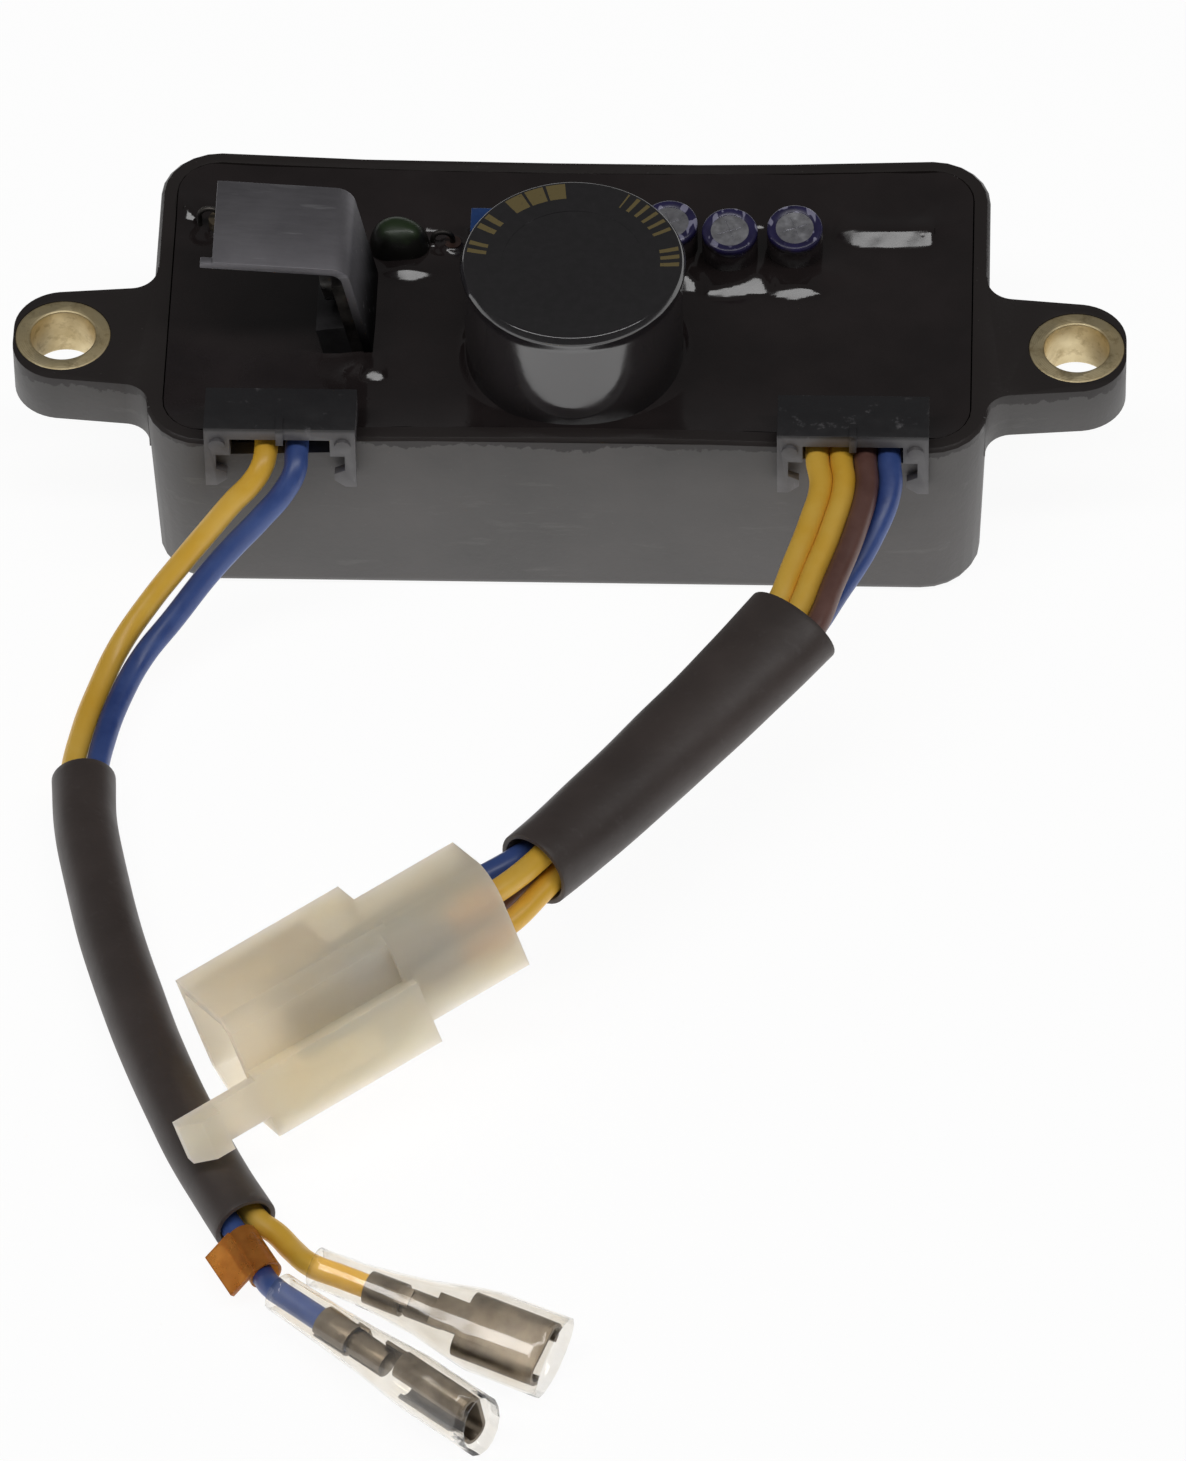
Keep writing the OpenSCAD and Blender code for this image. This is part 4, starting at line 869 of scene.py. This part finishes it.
# Case and resin -------------------------------------------------------------
RESIN_Z = 22.0
# Half length and half width of the pool, its corners' radius and how far its long sides bow in
POOL = (44.35, 20.65)
POOL_CORNER = 4.7
POOL_BOW = 1.03
POOL_PITCH = 0.3
POOL_DEPTH = 3
# Where the resin draws up the walls, rise and reach, and then up each part: place, size, rise and reach
WALL_CREEP = (1.45, 9)
ROUND_PARTS = [(0.6, -6.9, 12.1, 0.7, 1.2), (-13.5, 9.4, 0.95, 0.6, 0.9), (-39.6, 11.6, 1.2, 0.8, 1.1),
               (-15.7, 9.4, 0.3, 0.5, 0.7), (-41.8, 11.6, 0.3, 0.5, 0.7)]
CLIP_LEGS = (-38.9, -23.5, 23.9, 39.3)
SQUARE_PARTS = [(-6.7, 9.2, 4.75, 2.4, 0.9, 1.2), (-22.1, -1.25, 0.5, 6.35, 0.1, 0.6),
                (-24.85, -2.4, 2.25, 5, 0.1, 0.6)] + [(x, -18.5, 0.6, 1.1, 0.4, 0.6) for x in CLIP_LEGS]
# Steps where the pour set higher round a part: x and y along the foot of each front flank, and its depth
STEPS = [
    [(11.8, 2.6, 2.2), (12.9, 2.5, 2.1), (13.8, 2.7, 1.2), (14.5, 2, 0.2), (15, 1.8, 1), (17.2, 1.75, 1.45),
     (18.9, 2, 1.75), (20.3, 2.25, 2.3), (21.2, 2.3, 2), (21.7, 2.1, 1.3), (22.2, 1.9, 0.85),
     (22.8, 1.7, 1.3), (24.75, 1.35, 1.75), (26.4, 1.9, 1.3), (28.2, 2.6, 0.3)],
    [(28.9, 11.2, 0.2), (29.3, 10.9, 1.1), (30.1, 10.3, 1.7), (30.9, 9.85, 2.1), (32, 9.6, 2.2),
     (34.6, 9.5, 2.25), (39.4, 9.6, 2.2), (39.9, 9.8, 1.9), (40.2, 10.2, 0)],
    [(-21.6, 4.7, 0.2), (-20.9, 4.4, 0.7), (-20.1, 4.05, 1.15), (-19.3, 3.7, 1.5), (-18.4, 3.5, 1.7),
     (-17.5, 3.7, 1.5), (-16.7, 4.05, 1.15), (-15.9, 4.4, 0.7), (-15.2, 4.7, 0.2)],
    [(-17.2, 11, 0), (-16.8, 10.9, 1.1), (-14.9, 10.6, 1.1), (-14.5, 10.7, 0)],
    [(-43.8, 11.6, 0), (-43.4, 11.6, 1.8), (-42.2, 11.5, 1), (-41, 11.4, 0.2)],
    [(-22.9, -11.2, 0), (-22.3, -11.7, 1.2), (-21.4, -11.9, 1.5), (-20.5, -11.7, 1.2), (-19.9, -11.2, 0)],
    [(12.2, 12.3, 0), (12.6, 12.1, 0.9), (13.6, 12.1, 0.9), (14, 12.3, 0)],
    [(19.7, 12.4, 0), (20.1, 12.2, 0.9), (21.1, 12.2, 0.9), (21.5, 12.4, 0)],
]
# Behind the flank: the run to the level part, the run down to the pool, and the level's share of the rise
STEP_SPREAD = 3
STEP_FALL = 9
STEP_LEVEL = 0.7
# Slope at which the lamp gleams in the resin
FLANK = math.tan(math.radians(28.4))


def pool_spot(u, v):
    """A spot of the pool from its place between -1 and 1 across each way."""
    x = u * POOL[0]
    y = v * (POOL[1] - POOL_BOW * (1 - u * u))
    cx, cy = POOL[0] - POOL_CORNER, POOL[1] - POOL_CORNER
    dx, dy = abs(x) - cx, abs(y) - cy
    if dx > 0 and dy > 0 and math.hypot(dx, dy) > POOL_CORNER:
        pull = POOL_CORNER / math.hypot(dx, dy)
        x, y = math.copysign(cx + dx * pull, x), math.copysign(cy + dy * pull, y)
    return x, y


def wall_distance(x, y):
    half = POOL[1] - POOL_BOW * (1 - min(1, abs(x) / POOL[0]) ** 2)
    cx, cy = POOL[0] - POOL_CORNER, half - POOL_CORNER
    dx, dy = abs(x) - cx, abs(y) - cy
    return POOL_CORNER - (math.hypot(max(dx, 0), max(dy, 0)) if dx > 0 and dy > 0 else max(dx, dy))


def creep(distance, rise, reach):
    """How far the resin climbs a face at a distance from it."""
    return rise * (1 - min(max(distance, 0), reach) / reach) ** 2


def ease(share):
    share = min(max(share, 0), 1)
    return share * share * (3 - 2 * share)


def step_up(x, y, foot):
    """Height of a step: an even flank up from its foot, a level run behind it and a slow fall to the back."""
    first, last = foot[0], foot[-1]
    outside = max(first[0] - x, x - last[0], 0)
    if outside >= STEP_SPREAD:
        return 0
    _, low, depth = first if x < first[0] else last
    for (x0, y0, d0), (x1, y1, d1) in zip(foot, foot[1:]):
        if x0 <= x <= x1:
            share = (x - x0) / (x1 - x0)
            low, depth = y0 + (y1 - y0) * share, d0 + (d1 - d0) * share
    ahead = y - low
    if ahead <= 0:
        return 0
    if outside == 0 and ahead < depth:
        return ahead * FLANK
    rise = depth * FLANK if outside == 0 else 0
    level = STEP_LEVEL * max(d for _, _, d in foot) * FLANK * (1 - ease(outside / STEP_SPREAD))
    behind = ahead - depth
    return (rise + (level - rise) * ease(behind / STEP_SPREAD)) * (1 - ease(behind / STEP_FALL))


def drift(x, y, layer, size, depth):
    """A slow unevenness over the pool; each layer has its own."""
    return depth * noise.noise(Vector((x, y, layer)) / size)


def resin_height(x, y):
    ripple = drift(x, y, 0, 9, 0.04) + drift(x, y, 4, 3.5, 0.02)
    climb = creep(wall_distance(x, y), *WALL_CREEP)
    for px, py, r, rise, reach in ROUND_PARTS:
        climb = max(climb, creep(math.hypot(x - px, y - py) - r, rise, reach))
    for px, py, hx, hy, rise, reach in SQUARE_PARTS:
        dx, dy = abs(x - px) - hx, abs(y - py) - hy
        climb = max(climb, creep(math.hypot(max(dx, 0), max(dy, 0)), rise, reach))
    raised = max(step_up(x, y + drift(x, y, 7, 1.6, 0.05), foot) for foot in STEPS)
    return RESIN_Z + ripple + raised + climb * (1 + drift(x, y, 9, 4, 0.1))


def pour_resin():
    """The cast surface, drawn up wherever it meets a part or a wall."""
    put_down()
    bpy.ops.mesh.primitive_grid_add(x_subdivisions=round(2 * POOL[0] / POOL_PITCH),
                                    y_subdivisions=round(2 * POOL[1] / POOL_PITCH), size=2)
    piece = bpy.context.object
    for vertex in piece.data.vertices:
        x, y = pool_spot(vertex.co.x, vertex.co.y)
        vertex.co = Vector((x, y, resin_height(x, y))) * MM
    bpy.ops.object.mode_set(mode="EDIT")
    bpy.ops.mesh.select_all(action="SELECT")
    bpy.ops.mesh.region_to_loop()
    bpy.ops.mesh.extrude_region_move(TRANSFORM_OT_translate={"value": (0, 0, -POOL_DEPTH * MM)})
    bpy.ops.mesh.edge_face_add()
    bpy.ops.mesh.select_all(action="SELECT")
    bpy.ops.mesh.normals_make_consistent(inside=False)
    put_down()
    smooth(piece, 60)
    return settle(piece, "resin_pour", "resin", "potting_resin")


pour_resin()
eased("case", "case_moulding", "case_plastic", 0.35)
for side in ("left", "right"):
    eased("ear_bush_" + side, "bush_" + side, "bush_brass", 0.25, 3)
    eased("wire_entry_" + side, "entry_clip_" + side, "entry_plastic", 0.14)
    dress("wire_tails_" + side, "dulled_and_shaded_metal")


# Parts on the board ---------------------------------------------------------
SLEEVE_TOP = 36.84
# Small capacitors: place and lean towards the wires
SMALL_CAPACITORS = [(10.7, 9.6, 6), (17.4, 8.6, 8), (24.6, 9.3, 10)]
# The film capacitor's box before it is rounded
FILM_SIZE = (7.9, 6.1, 9)
FILM_AT = (-19.5, 8.9, 22.5)
# Share of the bridge rectifier's rise above the resin's level that is kept
BRIDGE_SHOWING = 0.1
PLAIN_NODES = {
    # The transistor frame's dark finish is painted shade under the heat sink's plate
    "circuit_board": "board", "transistor_frame": "dulled_and_shaded_metal", "main_capacitor_can": "can_aluminium",
    "main_capacitor_disc": "black_sleeve", "main_capacitor_pins": "tinned_metal",
    "small_capacitor_leads": "tinned_metal", "film_capacitor_leads": "dulled_and_shaded_metal",
    "standing_diode": "brown_body", "standing_resistor": "resistor_body", "standing_leads": "dulled_and_shaded_metal",
    "bridge_leads": "dulled_and_shaded_metal", "trimmer_screw": "bush_brass", "trimmer_pins": "tinned_metal",
    "connector_tabs": "tinned_metal",
}


def main_capacitor():
    """The big can's sleeve, rolled over the top edge."""
    top = SLEEVE_TOP
    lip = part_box("main_capacitor_disc")[1][2] / MM + 0.03
    side = [(11.9, 21.5), (12.03, 21.5), (12.03, 28), (12.03, 34.3)]
    bead = [(12.05, 34.55), (12.14, 34.95), (12.28, 35.45), (12.39, 35.82), (12.42, 35.94), (12.41, 36.04),
            (12.33, 36.22), (12.2, 36.45), (12.07, 36.67), (11.98, 36.78)]
    rolled = [(11.86, top), (11.7, top - 0.01), (11.2, top - 0.06), (10.4, top - 0.15), (9.2, lip + 0.1),
              (8.2, lip + 0.01), (7.8, lip), (7.8, lip - 0.25)]
    inside = [(11.0, 36.2), (11.6, 35.9), (11.9, 35.0)]
    piece = lathe(side + bead + rolled + inside, 128)
    set_at(piece, (CAP_CENTRE[0] / MM, CAP_CENTRE[1] / MM, 0))
    ruffle(piece, 0.04, 6, 2.0)
    smooth(piece, 50)
    return settle(piece, "capacitor_sleeve", "black_sleeve", "main_capacitor_sleeve")


def small_capacitor(number, x, y, lean):
    """A small can's sleeve with its rolled rim, leaning towards the wires."""
    side = [(2.9, -4.8), (3.1, -4.8), (3.1, 2.0), (3.1, 3.3)]
    bead = [(3.02, 3.55), (3.02, 3.8), (3.1, 4.05), (3.1, 4.45), (3.02, 4.66), (2.84, 4.78)]
    rolled = [(2.6, 4.8), (2.3, 4.74), (2.12, 4.66), (2.1, 4.58), (2.5, 4.56), (2.9, 4.3)]
    piece = lathe(side + bead + rolled, 64)
    set_at(piece, (x, y, RESIN_Z), (lean, 0, 0))
    smooth(piece, 50)
    dress("small_capacitor_can_%d" % number, "can_aluminium")
    return settle(piece, "small_sleeve_%d" % number, "violet_sleeve", "small_capacitor_sleeve_%d" % number)


def film_capacitor():
    """A flat film capacitor, dipped: rounded all over and a little uneven."""
    put_down()
    bpy.ops.mesh.primitive_cube_add(size=1)
    piece = bpy.context.object
    bpy.ops.object.mode_set(mode="EDIT")
    bpy.ops.mesh.select_all(action="SELECT")
    bpy.ops.transform.resize(value=Vector(FILM_SIZE) * MM)
    put_down()
    apply_modifier(piece, "SUBSURF", levels=5, render_levels=5)
    set_at(piece, FILM_AT)
    ruffle(piece, 0.25, 3.5, 1.0)
    smooth(piece, 60)
    return settle(piece, "film_capacitor_dip", "green_dip", "film_capacitor")


def sunk_bridge():
    """The bridge rectifier, pressed down so that the resin closes over it."""
    piece = eased("bridge_rectifier", "bridge_mould", "black_mould", 0.25)
    for vertex in piece.data.vertices:
        if vertex.co.z > RESIN_Z * MM:
            vertex.co.z = RESIN_Z * MM + (vertex.co.z - RESIN_Z * MM) * BRIDGE_SHOWING


main_capacitor()
for number, (x, y, lean) in enumerate(SMALL_CAPACITORS, 1):
    small_capacitor(number, x, y, lean)
film_capacitor()
eased("heat_sink", "heat_sink_sheet", "sheet_aluminium", 0.16)
eased("transistor_body", "transistor_mould", "black_mould", 0.2)
eased("transistor_screw", "transistor_bolt", "screw_steel", 0.15)
sunk_bridge()
eased("trimmer_body", "trimmer_case", "trimmer_blue", 0.2)
for node, slot in PLAIN_NODES.items():
    dress(node, slot)


# Floor and light ------------------------------------------------------------
TABLE_SIZE = 6
# Share of the table's light that is its own glow, and that glow as seen and as it lights the part
TABLE_GLOW = 0.9
TABLE_WHITE = 1.04
TABLE_LIGHT = 1.5
PAPER = (0.9, 0.9, 0.9, 1)
# A long lamp over the front of the table: place, aim, length and width
LAMP_AT = Vector((0.02, -0.29, 1.16))
LAMP_AIM = Vector((0, -0.04, 0))
LAMP_SIZE = (2.0, 0.2)
LAMP_WATTS = 8
# The room's light, and as it is seen through something clear
ROOM = 0.11
ROOM_THROUGH = 0.85


def pale_floor():
    """A glowing white table under the part, with a little plain paper in it to take the part's shadow."""
    put_down()
    bpy.ops.mesh.primitive_plane_add(size=TABLE_SIZE)
    floor = bpy.context.object
    floor.name = "floor"
    material = bpy.data.materials.new("light_table")
    material.use_nodes = True
    tree = material.node_tree
    tree.nodes.clear()
    rays = tree.nodes.new("ShaderNodeLightPath")
    seen = rays.outputs["Is Camera Ray"]
    for name in ("Is Glossy Ray", "Is Transmission Ray"):
        either = tree.nodes.new("ShaderNodeMath")
        either.operation = "MAXIMUM"
        tree.links.new(seen, either.inputs[0])
        tree.links.new(rays.outputs[name], either.inputs[1])
        seen = either.outputs[0]
    strength = tree.nodes.new("ShaderNodeMapRange")
    strength.inputs["To Min"].default_value = TABLE_LIGHT
    strength.inputs["To Max"].default_value = TABLE_WHITE
    tree.links.new(seen, strength.inputs["Value"])
    paper = tree.nodes.new("ShaderNodeBsdfDiffuse")
    paper.inputs["Color"].default_value = PAPER
    glow = tree.nodes.new("ShaderNodeEmission")
    tree.links.new(strength.outputs["Result"], glow.inputs["Strength"])
    mixed = tree.nodes.new("ShaderNodeMixShader")
    mixed.inputs["Fac"].default_value = TABLE_GLOW
    tree.links.new(paper.outputs[0], mixed.inputs[1])
    tree.links.new(glow.outputs[0], mixed.inputs[2])
    out = tree.nodes.new("ShaderNodeOutputMaterial")
    tree.links.new(mixed.outputs[0], out.inputs["Surface"])
    floor.data.materials.append(material)


def tube_lamp():
    data = bpy.data.lights.new("tube_lamp", "AREA")
    data.shape = "RECTANGLE"
    data.size, data.size_y = LAMP_SIZE
    data.energy = LAMP_WATTS
    lamp = bpy.data.objects.new("tube_lamp", data)
    lamp.location = LAMP_AT
    lamp.rotation_euler = (LAMP_AIM - LAMP_AT).to_track_quat("-Z", "Y").to_euler()
    bpy.context.scene.collection.objects.link(lamp)


def sky():
    """A dim room, but white where it is seen through something clear."""
    world = bpy.data.worlds.new("studio")
    world.use_nodes = True
    tree = world.node_tree
    rays = tree.nodes.new("ShaderNodeLightPath")
    level = tree.nodes.new("ShaderNodeMapRange")
    level.inputs["To Min"].default_value = ROOM
    level.inputs["To Max"].default_value = ROOM_THROUGH
    tree.links.new(rays.outputs["Is Transmission Ray"], level.inputs["Value"])
    tree.nodes["Background"].inputs["Color"].default_value = (1, 1, 1, 1)
    tree.links.new(level.outputs["Result"], tree.nodes["Background"].inputs["Strength"])
    bpy.context.scene.world = world


pale_floor()
tube_lamp()
sky()
bpy.context.scene.view_settings.view_transform = "Standard"
